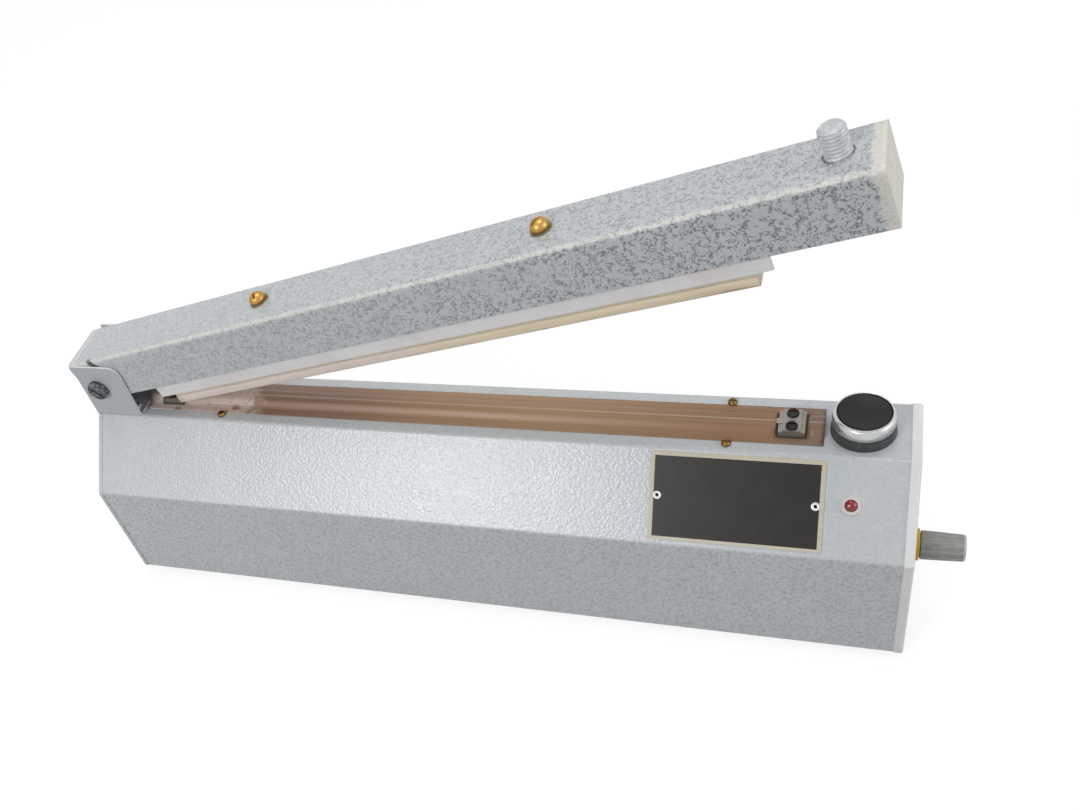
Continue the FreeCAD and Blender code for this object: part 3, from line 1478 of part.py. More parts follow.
def build():
    base_shell()
    end_plate("left_end_plate", -1, ())
    end_plate("right_end_plate", 1, [("dim.knob_y", "dim.knob_z", "dim.pot_bush + 0.2")])
    bottom_cover()
    feet()
    cover_screws()
    hinge_bracket()
    bracket_rivets()
    hinge_pin()
    hinge_bush()
    return_spring()
    arm_channel()
    arm_end("arm_left_end", ARM_LEFT, True)
    arm_end("arm_right_end", f"({ARM_RIGHT} - dim.arm_end_sheet)", False)
    adjusting_stud()
    pressure_rail()
    silicone_strip()
    guide_hardware()
    seal_former()
    heating_ribbon()
    ptfe_cloth()
    terminals()
    cloth_screws()
    push_button()
    nameplate()
    signal_lamp()
    timer()
    transformer()
    timer_board()
    cord_gland()
    doc.recompute()


def check_document():
    """Stop on any object that failed, and on any sub-part without a valid solid."""
    for item in doc.Objects:
        if "Invalid" in item.State or "Error" in item.State:
            raise RuntimeError(f"{item.Name} failed: {item.State}")
    for piece in pieces:
        shape = piece.Shape
        if shape.isNull() or not shape.isValid() or not shape.Solids:
            raise RuntimeError(f"{piece.Label} has no valid solid")


def write_parts():
    os.makedirs("parts", exist_ok=True)
    for piece in pieces:
        piece.Shape.exportStep(os.path.join("parts", f"{piece.Label}.step"))
    print(f"{len(pieces)} sub-parts, {sum(len(piece.Shape.Solids) for piece in pieces)} solids")


build()
check_document()
write_parts()
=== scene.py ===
"""A hand impulse heat sealer: its looks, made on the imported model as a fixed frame."""

import json
import math

import bmesh
import bpy
from bpy.props import FloatProperty, FloatVectorProperty, PointerProperty
from mathutils import Matrix, Vector


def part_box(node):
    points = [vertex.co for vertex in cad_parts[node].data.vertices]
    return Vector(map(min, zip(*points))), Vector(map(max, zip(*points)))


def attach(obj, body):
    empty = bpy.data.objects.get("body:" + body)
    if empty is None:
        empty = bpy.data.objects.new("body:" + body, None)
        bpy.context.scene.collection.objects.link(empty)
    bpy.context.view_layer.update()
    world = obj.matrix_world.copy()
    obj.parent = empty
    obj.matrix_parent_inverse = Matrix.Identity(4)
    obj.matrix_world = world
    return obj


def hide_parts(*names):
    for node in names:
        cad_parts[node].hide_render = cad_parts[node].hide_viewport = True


bl_info = {
    "name": "Impulse Heat Sealer",
    "version": (1, 0, 0),
    "blender": (4, 5, 0),
    "location": "3D Viewport > Sidebar > Sealer",
    "description": "Finishes and fine pieces for a bench impulse heat sealer",
    "category": "Object",
}

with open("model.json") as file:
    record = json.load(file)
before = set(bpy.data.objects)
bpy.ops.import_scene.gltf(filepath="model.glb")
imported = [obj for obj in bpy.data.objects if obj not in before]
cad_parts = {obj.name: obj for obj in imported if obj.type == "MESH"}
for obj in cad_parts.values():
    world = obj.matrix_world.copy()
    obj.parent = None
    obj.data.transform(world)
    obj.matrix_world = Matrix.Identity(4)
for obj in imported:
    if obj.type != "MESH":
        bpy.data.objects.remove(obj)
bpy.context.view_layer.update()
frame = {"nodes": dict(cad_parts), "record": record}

MM = 0.001


def tint(red, green, blue):
    """A colour given in display values from 0 to 255, as the shader's linear values."""
    levels = (channel / 255 for channel in (red, green, blue))
    return tuple(c / 12.92 if c <= 0.04045 else ((c + 0.055) / 1.055) ** 2.4 for c in levels)


def colour(name, description, red, green, blue):
    return FloatVectorProperty(
        name=name,
        description=description,
        default=tint(red, green, blue),
        size=3,
        min=0,
        max=1,
        subtype="COLOR",
    )


def length(name, description, millimetres):
    return FloatProperty(
        name=name,
        description=description,
        default=millimetres * MM,
        min=0,
        subtype="DISTANCE",
        unit="LENGTH",
    )


def bearing(name, description, degrees):
    return FloatProperty(name=name, description=description, default=math.radians(degrees), subtype="ANGLE")


def amount(name, description, value):
    return FloatProperty(name=name, description=description, default=value)


class SealerSizes(bpy.types.PropertyGroup):
    """The sizes of the fine pieces and of the paint's texture."""

    hammer_cell: length("Hammer cell", "Width of one bump of the hammered paint", 1.15)
    hammer_depth: length("Hammer depth", "Height of the hammered paint's bumps", 0.07)
    stroke: length("Dark stroke", "Length of the dark strokes between the paint's bumps", 1.6)
    thread_pitch: length("Thread pitch", "Pitch of the adjusting stud's thread", 1.5)
    thread_depth: length("Thread depth", "Depth of the adjusting stud's thread", 0.62)
    stud_chamfer: length("Stud chamfer", "Chamfer at both ends of the adjusting stud", 1.2)
    screw_slot: length("Screw slot", "Width of the slot in a guide screw's head", 1.0)
    plate_border: length("Plate border", "Width of the nameplate's pale border", 1.7)
    weave_pitch: length("Weave pitch", "Spacing of the threads in the release cloth", 0.55)
    cloth_thick: length("Cloth thickness", "Thickness of the release cloth", 0.2)


class SealerColours(bpy.types.PropertyGroup):
    """The colours that a user would change."""

    paint: colour("Paint", "Blue-grey hammered paint", 200, 205, 208)
    # Paint pits: partly the paint's own dark veins, partly painted shade in the bottom of its dimples.
    paint_pit_and_shade: colour("Paint pits", "The same paint in the bottom of its dimples", 104, 112, 116)
    pale: colour("Pale paint", "Cream undercoat showing on the worn ends", 240, 238, 228)
    bracket: colour("Bracket paint", "Smooth paint on the hinge bracket", 192, 197, 202)
    brass: colour("Brass", "Guide and cloth screws", 190, 150, 84)
    cloth_left: colour("Cloth, left", "Release cloth near the hinge", 142, 112, 92)
    cloth: colour("Release cloth", "Brown coated glass cloth", 170, 136, 102)
    cloth_right: colour("Cloth, right", "Release cloth near the push button", 144, 106, 72)
    # Painted reflection: a pale glossy patch on the release cloth near the hinge.
    cloth_reflection: colour("Cloth patch", "Paler worn patch of the release cloth", 214, 198, 186)
    wrap: colour("Strip wrap", "Cream cloth round the rubber strip", 250, 232, 202)
    wrap_pale: colour("Strip wrap, pale", "The same cloth, rubbed pale near the hinge", 246, 228, 221)
    plate: colour("Nameplate", "The plate's dark field", 17, 13, 11)
    plate_edge: colour("Plate border", "The plate's pale border", 222, 214, 194)
    lens: colour("Lamp", "Signal lamp lens", 142, 12, 22)
    knob: colour("Knob", "Timer knob", 150, 148, 145)
    collar: colour("Knob ring", "Yellow ring behind the knob", 214, 178, 44)


# ------------------------------------------------------------------ materials


class Wire:
    """A socket of a material: an expression on it adds the Math nodes that it needs."""

    def __init__(self, look, socket):
        self.look = look
        self.socket = socket

    def maths(self, operation, first, second, clamp=False):
        settings = {"operation": operation, "use_clamp": clamp}
        return self.look.node("Math", settings, {0: first, 1: second})

    def __add__(self, other):
        return self.maths("ADD", self, other)

    def __radd__(self, other):
        return self.maths("ADD", other, self)

    def __sub__(self, other):
        return self.maths("SUBTRACT", self, other)

    def __rsub__(self, other):
        return self.maths("SUBTRACT", other, self)

    def __mul__(self, other):
        return self.maths("MULTIPLY", self, other)

    def __rmul__(self, other):
        return self.maths("MULTIPLY", other, self)

    def __truediv__(self, other):
        return self.maths("DIVIDE", self, other)

    def __pow__(self, other):
        return self.maths("POWER", self, other)

    def __abs__(self):
        return self.maths("ABSOLUTE", self, 0)

    def sine(self):
        return self.maths("SINE", self, 0)

    def bounded(self):
        """The value held between 0 and 1."""
        return self.maths("ADD", self, 0, clamp=True)

    def step(self, start, end):
        """0 up to start, 1 from end, and a smooth rise between them."""
        values = {"Value": self, "From Min": start, "From Max": end, "To Min": 0, "To Max": 1}
        return self.look.node("MapRange", {"interpolation_type": "SMOOTHSTEP"}, values)

    def most(self, other):
        return self.maths("MAXIMUM", self, other)


class Look:
    """One procedural material, built round a Principled shader."""

    def __init__(self, name, base, rough, **constants):
        self.material = bpy.data.materials.new(name)
        self.material.use_nodes = True
        self.tree = self.material.node_tree
        self.tree.nodes.clear()
        self.shader = self.tree.nodes.new("ShaderNodeBsdfPrincipled")
        output = self.tree.nodes.new("ShaderNodeOutputMaterial")
        self.tree.links.new(self.shader.outputs[0], output.inputs[0])
        self.set("Base Color", base)
        self.set("Roughness", rough)
        for key, value in constants.items():
            self.set(key.replace("_", " ").title().replace("Ior", "IOR"), value)

    def fill(self, socket, value):
        """Gives a socket a link, a colour or a plain value."""
        if isinstance(value, Wire):
            self.tree.links.new(value.socket, socket)
        elif socket.type == "RGBA" and len(value) == 3:
            socket.default_value = (*value, 1)
        else:
            socket.default_value = value

    def node(self, kind, settings=None, values=None, output=0):
        """Adds a node, sets its settings and then its sockets, and returns one output."""
        made = self.tree.nodes.new("ShaderNode" + kind)
        for key, value in (settings or {}).items():
            if key == "stops":
                ramp = made.color_ramp
                while len(ramp.elements) < len(value):
                    ramp.elements.new(0.5)
                for element, (position, shade) in zip(ramp.elements, value):
                    element.position = position
                    element.color = (*shade, 1)
            else:
                setattr(made, key, value)
        for key, value in (values or {}).items():
            self.fill(made.inputs[key], value)
        return Wire(self, made.outputs[output])

    def set(self, key, value):
        """Gives one of the shader's sockets a value or a link."""
        self.fill(self.shader.inputs[key], value)

    def place(self):
        """Where a point of the piece is, in metres."""
        return self.node("TexCoord", output="Object")

    def flat(self):
        """Where a point of a cloth lies on the flat cut, in metres."""
        return self.node("UVMap", {"uv_map": "flat"})

    def parts(self, vector):
        """The three components of a vector."""
        split = self.node("SeparateXYZ", None, {0: vector})
        outputs = split.socket.node.outputs
        return [Wire(self, outputs[index]) for index in range(3)]

    def moved(self, vector, origin):
        """The same coordinates, measured from an origin."""
        return self.node("VectorMath", {"operation": "SUBTRACT"}, {0: vector, 1: tuple(origin)})

    def along(self, vector, origin, direction):
        """The distance of a point from an origin, measured along a direction."""
        values = {0: self.moved(vector, origin), 1: tuple(direction)}
        return self.node("VectorMath", {"operation": "DOT_PRODUCT"}, values, output="Value")

    def stretched(self, vector, scale):
        """The same coordinates, multiplied by a scale for each direction."""
        return self.node("VectorMath", {"operation": "MULTIPLY"}, {0: vector, 1: scale})

    def noise(self, vector, size, detail=2.0, rough=0.5):
        """A cloudy value near 0.5, in lumps of about a size."""
        values = {"Vector": vector, "Scale": 1 / size, "Detail": detail, "Roughness": rough}
        return self.node("TexNoise", None, values)

    def cells(self, vector, size, feature="F1"):
        """The distance to the nearest of scattered points that lie about a size apart."""
        return self.node("TexVoronoi", {"feature": feature}, {"Vector": vector, "Scale": 1 / size})

    def shaken(self, vector, size, reach):
        """The same coordinates, pushed about by up to a reach."""
        values = {"Vector": vector, "Scale": 1 / size, "Detail": 1}
        shake = self.node("TexNoise", None, values, output="Color")
        pushed = self.stretched(self.moved(shake, (0.5, 0.5, 0.5)), (reach * 2,) * 3)
        return self.node("VectorMath", {"operation": "ADD"}, {0: vector, 1: pushed})

    def mix(self, factor, first, second):
        """One colour over another by a factor."""
        settings = {"data_type": "RGBA", "clamp_factor": True}
        return self.node("Mix", settings, {0: factor, 6: first, 7: second}, output=2)

    def bump(self, height, reach):
        """Raises the surface by height, a value from 0 to 1, times a reach in metres."""
        values = {"Height": height, "Distance": reach, "Strength": 1.0}
        self.set("Normal", self.node("Bump", None, values))


def dress(look, *nodes):
    """Gives a finish to CAD nodes."""
    for node in nodes:
        for slot in frame["nodes"][node].material_slots:
            slot.material = look.material


def paint_on(look, piece):
    """Gives a finish to a new piece."""
    piece.data.materials.clear()
    piece.data.materials.append(look.material)


def shaded(base, factor):
    """A colour made darker or lighter by a factor."""
    return tuple(min(1.0, channel * factor) for channel in base)


def strokes(look, place, size):
    """Short dark crooked strokes: where a noise crosses its middle, broken up by another."""
    fineness = 13
    field = look.noise(look.shaken(place, size * 1.6, size * 0.5), size, 2, 0.55)
    crooked = (1 - abs(field - 0.5) * fineness).bounded()
    broken = look.noise(place, size * 1.3, 2, 0.6)
    return crooked**0.6 * broken.step(0.44, 0.54)


def hammered_paint(name, darkness, worn=None):
    """Stoved paint with a hammered texture, the tops of its bumps painted lighter as a painted highlight:
    darkness(look, place) is how dark its strokes are, painted shade included.

    worn(look, place), where there is any, is how bare the sheet is rubbed, a painted highlight along the
    arm's front bend included, and where it has a dark mark.
    """
    dark_mark_tint = tint(56, 60, 63)
    sizes, colours = bpy.context.scene.sealer_sizes, bpy.context.scene.sealer_colours
    look = Look(name, colours.paint[:], 0.3, specular_ior_level=0.85)
    place = look.place()
    cells = look.cells(look.shaken(place, 0.003, 0.0006), sizes.hammer_cell, "SMOOTH_F1")
    marks = strokes(look, place, sizes.stroke)
    grain = look.noise(place, 0.0006, 2, 0.6)
    cloud = look.noise(place, 0.03, 3, 0.55)
    depth = darkness(look, place)
    dark = (marks * depth + grain.step(0.5, 0.72) * depth * 0.35).bounded()
    light = look.mix(cloud.step(0.42, 0.68) * 0.5, colours.paint[:], shaded(colours.paint, 1.08))
    # Painted highlight: the bumps' tops, at the middles of the cells, are painted lighter as glints.
    light = look.mix((1 - cells.step(0.08, 0.42)) * 0.35, light, shaded(colours.paint, 1.22))
    # The dark strokes and grain: partly the paint's own dark veins, partly painted shade in its dimples.
    base = look.mix(dark, light, colours.paint_pit_and_shade[:])
    rough = 0.27 + cloud * 0.08 + dark * 0.25
    if worn:
        worn_and_highlight, dark_mark = worn(look, place)
        chalk = look.mix(grain.step(0.35, 0.7), colours.pale[:], shaded(colours.pale, 0.88))
        # Pale undercoat on the worn ends, and along the arm's bend a pale line that is partly a painted
        # highlight.
        base = look.mix(worn_and_highlight, base, chalk)
        # The dark mark on the arm's front.
        base = look.mix(dark_mark, base, dark_mark_tint)
        rough = rough + worn_and_highlight * 0.2 + dark_mark * 0.2
    look.set("Base Color", base)
    look.set("Roughness", rough)
    look.bump(1 - cells.step(0.05, 0.8) + grain * 0.15 - marks * depth * 0.4, sizes.hammer_depth)
    return look


def base_darkness(look, place):
    """The strokes are darker on the upright walls than on the slopes and the top: partly the paint's own
    strokes, partly painted shade on the walls.
    """
    slope_rise, soft, on_slope, wall_strokes_and_shade = 0.032, 0.0006, 0.12, 0.34
    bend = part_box("base_shell")[1].z - slope_rise
    _, _, height = look.parts(place)
    wall = 1 - height.step(bend - soft, bend + soft)
    # Painted shade: the walls' strokes are made darker than the slopes' to darken the walls.
    return wall * wall_strokes_and_shade + on_slope


def arm_darkness(look, place):
    """The arm's front is dark and lively, more so towards the free end, and its top is calm; the front's
    extra darkness over the top is partly the paint's own strokes and partly painted shade.
    """
    bend_start, bend_end = 0.0004, 0.0026
    low, high = arm_box("arm_channel")
    origin, along, _ = arm_axes()
    travel = look.along(place, origin, along)
    _, across, _ = look.parts(place)
    front = 1 - across.step(low.y + bend_start, low.y + bend_end)
    growth = travel.step(low.x, high.x) * 0.55 + 0.42
    # Painted shade: the front's strokes are darker than the top's, partly to darken the front.
    return front * (growth * 1.05 + 0.04) + (1 - front) * (growth * 0.62 + 0.1)


def arm_wear(look, place):
    """Undercoat rubbed bare at the arm's ends; a pale line along its front bend that is partly worn paint
    and partly a painted highlight; and one dark mark.
    """
    free_wear, hinge_wear, bend_radius, bend_fade = 0.007, 0.006, 0.0013, 0.002
    mark_along, mark_up, mark_long, mark_wide = 0.0065, 0.0142, 0.0046, 0.0012
    lean_cos, lean_sin = 0.83, 0.55
    low, high = arm_box("arm_channel")
    origin, along, up = arm_axes()
    travel = look.along(place, origin, along)
    rise = look.along(place, origin, up)
    _, across, _ = look.parts(place)
    ragged = look.noise(place, 0.003, 3, 0.65)
    free = (travel.step(high.x - free_wear, high.x) + ragged * 1.4 - 1.02).step(0.05, 0.5) * 0.8
    hinged = (1 - travel.step(low.x, low.x + hinge_wear) + ragged - 0.85).step(0.0, 0.4) * 0.6
    # A pale line along the front bend: partly worn paint, partly a painted highlight on the bend.
    corner = ((across - low.y) ** 2 + (rise - high.z) ** 2) ** 0.5
    line = (1 - corner.step(bend_radius, bend_fade)) * (ragged.step(0.35, 0.6) * 0.5 + 0.25)
    worn_and_highlight = free.most(hinged).most(line)
    # A short dark oval mark on the arm's front just above the ear.
    side, drop = travel - mark_along, rise - mark_up
    long = (side * lean_cos - drop * lean_sin) / mark_long
    wide = (side * lean_sin + drop * lean_cos) / mark_wide
    oval = long * long + wide * wide + (ragged - 0.5) * 1.4
    dark_mark = (1 - oval.step(0.7, 1.2)) * (1 - across.step(low.y + 0.0004, low.y + 0.0034))
    return worn_and_highlight, dark_mark


def smooth_paint(name, base, edge=0):
    """Sprayed satin paint with faint runs and dust: edge is how strongly the bracket's cut edges are
    painted pale, as a painted highlight.
    """
    look = Look(name, base, 0.4)
    place = look.place()
    orange = look.noise(place, 0.0012, 2, 0.5)
    cloud = look.noise(place, 0.02, 3, 0.6)
    specks = look.cells(place, 0.0028).step(0.1, 0.04) * look.noise(place, 0.01).step(0.5, 0.6)
    shade = look.mix(cloud.step(0.4, 0.7) * 0.5, base, shaded(base, 1.1))
    shade = look.mix(specks * 0.4, shade, shaded(base, 0.6))
    # Painted highlight: a pale band on the bracket's cut edges, where they catch the light.
    if edge:
        _, across, _ = look.parts(place)
        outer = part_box("hinge_bracket")[1].y
        within = abs(across).step(outer - 0.0011, outer - 0.0009)
        cut = within * (1 - abs(across).step(outer - 0.0003, outer - 0.0001))
        edge_highlight_tint = tint(240, 240, 238)
        shade = look.mix(cut * edge, shade, edge_highlight_tint)
    look.set("Base Color", shade)
    look.set("Roughness", 0.34 + cloud * 0.2)
    look.bump(orange, 0.00006)
    return look


def plated(name, base, rough, grain=(1, 1, 1), tarnish=0.35, depth=0.00003, metallic=1.0):
    """Metal with a drawn or cast grain and duller tarnished patches."""
    look = Look(name, base, rough, metallic=metallic)
    place = look.place()
    lines = look.noise(look.stretched(place, grain), 0.0006, 3, 0.6)
    cloud = look.noise(place, 0.006, 4, 0.65)
    dull = cloud.step(0.42, 0.68)
    shade = look.mix(dull * tarnish, base, shaded(base, 0.55))
    look.set("Base Color", look.mix(lines.step(0.35, 0.75) * 0.3, shade, shaded(base, 1.25)))
    look.set("Roughness", (rough + dull * 0.18 + (lines - 0.5) * 0.12).bounded())
    look.bump(lines + cloud * 0.4, depth)
    return look


def moulded(name, base, rough, mottle=0.25, depth=0.00002):
    """Moulded plastic, rubber or laminate with a fine skin and handling marks."""
    look = Look(name, base, rough)
    place = look.place()
    skin = look.noise(place, 0.0004, 2, 0.6)
    cloud = look.noise(place, 0.008, 3, 0.6)
    dust = look.noise(place, 0.0016, 2, 0.7).step(0.6, 0.75)
    shade = look.mix(cloud.step(0.35, 0.7) * mottle, base, shaded(base, 0.7))
    grey = tuple(0.6 * channel + 0.12 for channel in base)
    look.set("Base Color", look.mix(dust * 0.12, shade, grey))
    look.set("Roughness", (rough + cloud * 0.14 - 0.05).bounded())
    look.bump(skin, depth)
    return look


# ------------------------------------------------------------------ modelling


def hands_off():
    """Leaves edit mode with nothing selected."""
    if bpy.context.mode != "OBJECT":
        bpy.ops.object.mode_set(mode="OBJECT")
    bpy.ops.object.select_all(action="DESELECT")


def take(piece):
    """Makes one piece the selected and active object."""
    hands_off()
    piece.select_set(True)
    bpy.context.view_layer.objects.active = piece
    return piece


def pick(piece, wanted, kind="FACE"):
    """In edit mode, selects the vertices, edges or faces whose middle is wanted."""
    bpy.ops.mesh.select_mode(type=kind)
    bpy.ops.mesh.select_all(action="DESELECT")
    mesh = bmesh.from_edit_mesh(piece.data)
    groups = {"VERT": mesh.verts, "EDGE": mesh.edges, "FACE": mesh.faces}
    for item in groups[kind]:
        corners = [item] if kind == "VERT" else item.verts
        middle = sum((corner.co for corner in corners), Vector()) / len(corners)
        item.select_set(bool(wanted(middle)))
    mesh.select_flush_mode()
    bmesh.update_edit_mesh(piece.data)


def outwards(piece):
    """Merges doubles and turns every face outwards."""
    bpy.ops.mesh.select_all(action="SELECT")
    bpy.ops.mesh.remove_doubles(threshold=0.000002)
    bpy.ops.mesh.normals_make_consistent(inside=False)
    bpy.ops.object.mode_set(mode="OBJECT")
    return piece


def turn(name, outline, sides=64, hollow=False):
    """A turned piece: a ring, extruded and resized to each next radius and height."""
    hands_off()
    radius, height = outline[0]
    fill = "NOTHING" if hollow else "NGON"
    bpy.ops.mesh.primitive_circle_add(vertices=sides, radius=radius, fill_type=fill)
    piece = bpy.context.object
    piece.name = piece.data.name = name
    bpy.ops.object.mode_set(mode="EDIT")
    bpy.ops.mesh.select_mode(type="EDGE" if hollow else "FACE")
    bpy.ops.mesh.select_all(action="SELECT")
    bpy.ops.transform.translate(value=(0, 0, height))
    for next_radius, next_height in outline[1:]:
        step = {"value": (0, 0, next_height - height)}
        bpy.ops.mesh.extrude_region_move(TRANSFORM_OT_translate=step)
        if next_radius == 0:
            bpy.ops.mesh.merge(type="CENTER")
            break
        factor = next_radius / radius
        centre = (0, 0, next_height)
        bpy.ops.transform.resize(value=(factor, factor, 1), center_override=centre)
        radius, height = next_radius, next_height
    return outwards(piece)


def modify(piece, kind, **settings):
    """Adds a modifier and applies it."""
    take(piece)
    bpy.ops.object.modifier_add(type=kind)
    modifier = piece.modifiers[-1]
    for key, value in settings.items():
        setattr(modifier, key, value)
    bpy.ops.object.modifier_apply(modifier=modifier.name)
    return piece


def carve(piece, tool, operation="DIFFERENCE"):
    """Cuts a piece with a tool, or keeps only what both hold, and removes the tool."""
    modify(piece, "BOOLEAN", object=tool, operation=operation, solver="EXACT")
    bpy.data.objects.remove(tool)
    return piece


def block(low, high):
    """A plain block between two corners, for use as a cutting tool."""
    hands_off()
    low, high = Vector(low), Vector(high)
    bpy.ops.mesh.primitive_cube_add(size=1, location=(low + high) / 2, scale=high - low)
    return bpy.context.object


def settle(piece, matrix, sharp=35):
    """Puts a piece in its place for good, smooth but for its sharp edges."""
    take(piece)
    piece.matrix_world = matrix
    bpy.ops.object.transform_apply(location=True, rotation=True, scale=True)
    bpy.ops.object.shade_smooth_by_angle(angle=math.radians(sharp))
    return piece


def copies(piece, matrices):
    """One copy of a piece at each place, each with its own mesh."""
    made = []
    for index, matrix in enumerate(matrices):
        take(piece)
        bpy.ops.object.duplicate(linked=False)
        twin = bpy.context.object
        twin.name = twin.data.name = f"{piece.name}_{index + 1}"
        made.append(settle(twin, matrix))
    bpy.data.objects.remove(piece)
    return made


def joint(name):
    """A joint of the record by its name."""
    return next(item for item in frame["record"]["behaviour"]["joints"] if item["name"] == name)


def arm_axes():
    """The hinge's middle, the way along the arm, and the way up through it."""
    up = Vector(joint("bar_slide")["axis"])
    along = Vector((up.z, 0, -up.x))
    return Vector(joint("arm_hinge")["pos_m"]), along, up


def arm_matrix(along=0, across=0, up=0):
    """The arm's own axes as X, Y and Z, with the origin at a point of the arm."""
    origin, ahead, above = arm_axes()
    turned = Matrix((ahead, (0, 1, 0), above)).transposed().to_4x4()
    return Matrix.Translation(origin) @ turned @ Matrix.Translation((along, across, up))


def extent(points):
    """The lowest and highest corner of some points."""
    low = Vector(min(point[axis] for point in points) for axis in range(3))
    high = Vector(max(point[axis] for point in points) for axis in range(3))
    return low, high


def arm_box(node):
    """A CAD node's lowest and highest corner in the arm's own axes."""
    inverse = arm_matrix().inverted()
    return extent([inverse @ vertex.co for vertex in frame["nodes"][node].data.vertices])


def facet_axes():
    """Axes on the sloping front: X along the base, Y up the slope and Z out of it."""
    slope = facet_slope()
    upward = Vector((0, math.cos(slope), math.sin(slope)))
    out = Vector((0, -math.sin(slope), math.cos(slope)))
    return Matrix((Vector((1, 0, 0)), upward, out)).transposed().to_4x4()


def on_facet(points):
    """The lowest and highest corner of some points in the sloping front's axes."""
    inverse = facet_axes().inverted()
    return extent([inverse @ point for point in points])


def facet_slope():
    """How steep the front slope is, from the nameplate's length up it."""
    low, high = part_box("nameplate")
    return math.atan2(high.z - low.z, high.y - low.y)


# --------------------------------------------------------------------- pieces


class SEALER_OT_paintwork(bpy.types.Operator):
    """Paints the folded sheet: hammered grey on base and arm, pale ends, smooth bracket"""

    bl_idname = "sealer.paintwork"
    bl_label = "Paintwork"

    def execute(self, context):
        colours = context.scene.sealer_colours
        dress(hammered_paint("hammered_base_paint", base_darkness), "base_shell", "left_end_plate")
        dress(hammered_paint("hammered_arm_paint", arm_darkness, arm_wear), "arm_channel")
        dress(hammered_paint("hammered_end_paint", arm_darkness), "arm_left_end")
        dress(smooth_paint("pale_end_paint", tint(238, 238, 238)), "right_end_plate")
        dress(chalky_paint(), "arm_right_end")
        dress(smooth_paint("bracket_paint", colours.bracket[:], 0.8), "hinge_bracket")
        return {"FINISHED"}


def chalky_paint():
    """Thick cream undercoat, rubbed and chipped."""
    colours = bpy.context.scene.sealer_colours
    look = Look("chalky_paint", colours.pale[:], 0.7)
    place = look.place()
    lumps = look.cells(look.shaken(place, 0.003, 0.001), 0.0016, "SMOOTH_F1")
    cloud = look.noise(place, 0.005, 4, 0.6)
    chips = look.noise(place, 0.0018, 2, 0.6).step(0.6, 0.7)
    shade = look.mix(cloud.step(0.4, 0.7) * 0.45, colours.pale[:], shaded(colours.pale, 0.85))
    look.set("Base Color", look.mix(chips * 0.35, shade, tint(140, 142, 140)))
    look.set("Roughness", 0.6 + cloud * 0.25)
    look.bump(1 - lumps, 0.00016)
    return look


class SEALER_OT_bare_metal(bpy.types.Operator):
    """Finishes the zinc, steel, brass and aluminium pieces"""

    bl_idname = "sealer.bare_metal"
    bl_label = "Bare metal"

    def execute(self, context):
        colours = context.scene.sealer_colours
        zinc = plated("zinc_sheet", tint(176, 178, 180), 0.42, (0.25, 1, 1), 0.4)
        dress(zinc, "bottom_cover", "transformer_frame")
        steel = plated("zinc_plated_steel", tint(182, 182, 180), 0.34)
        dress(
            steel,
            "bottom_cover_screws",
            "foot_screws",
            "foot_nuts",
            "bracket_rivets",
            "hinge_nut",
            "hinge_bush",
            "frame_screws",
            "pot_nut",
        )
        dress(plated("blackened_steel", tint(58, 56, 54), 0.5, tarnish=0.6), "terminal_screws")
        springs = plated("spring_wire", tint(112, 112, 114), 0.36)
        dress(springs, "return_spring", "bar_springs", "button_spring")
        dress(plated("dull_brass", shaded(colours.brass, 0.42), 0.3, tarnish=0.8), "cloth_screws")
        dress(galvanised(), "stud_bridge", "stud_lock_nut", "guide_nuts")
        dress(plated("blued_steel", tint(150, 140, 112), 0.42, tarnish=0.6), "guide_washers")
        dress(rail_metal(), "pressure_rail")
        dress(plated("heat_tinted_ribbon", tint(150, 142, 136), 0.38, (0.1, 1, 1), 0.5), "heating_ribbon")
        tinned = plated("tinned_metal", tint(150, 146, 140), 0.4, tarnish=0.5, metallic=0.6)
        dress(tinned, "terminal_blocks", "terminal_clamps")
        dress(plated("die_cast_metal", tint(168, 169, 170), 0.5), "timer_pot", "timer_shaft")
        stacked = plated("varnished_laminations", tint(62, 62, 68), 0.45, (1, 1, 12), 0.5, 0.0001)
        dress(stacked, "transformer_core")
        return {"FINISHED"}


def galvanised():
    """Dull zinc on threaded steel, chalky in its hollows."""
    look = Look("galvanised_steel", tint(206, 209, 210), 0.5, metallic=0.25)
    place = look.place()
    cloud = look.noise(place, 0.003, 4, 0.65)
    grain = look.noise(place, 0.0005, 2, 0.6)
    bright = look.mix(cloud.step(0.45, 0.68), tint(196, 200, 202), tint(224, 226, 226))
    look.set("Base Color", look.mix(grain.step(0.6, 0.75) * 0.25, bright, tint(150, 153, 154)))
    look.set("Roughness", 0.42 + cloud * 0.25)
    look.bump(grain + cloud, 0.00004)
    return look


def rail_metal():
    """Milled aluminium, whitish and a little warm, with fine draw lines along the arm."""
    white = tint(240, 239, 240)
    look = Look("rail_metal", white, 0.45, metallic=0.1)
    origin, along, _ = arm_axes()
    place = look.place()
    travel = look.along(place, origin, along)
    _, across, height = look.parts(place)
    scattered = look.node("CombineXYZ", None, {0: travel * 0.04, 1: across, 2: height})
    lines = look.noise(scattered, 0.0007, 3, 0.6)
    cloud = look.noise(place, 0.02, 3, 0.6)
    shade = look.mix(cloud.step(0.4, 0.7) * 0.6, white, tint(226, 218, 214))
    look.set("Base Color", look.mix(lines.step(0.55, 0.8) * 0.22, shade, tint(176, 176, 178)))
    look.set("Roughness", 0.38 + lines * 0.2)
    look.bump(lines, 0.00004)
    return look


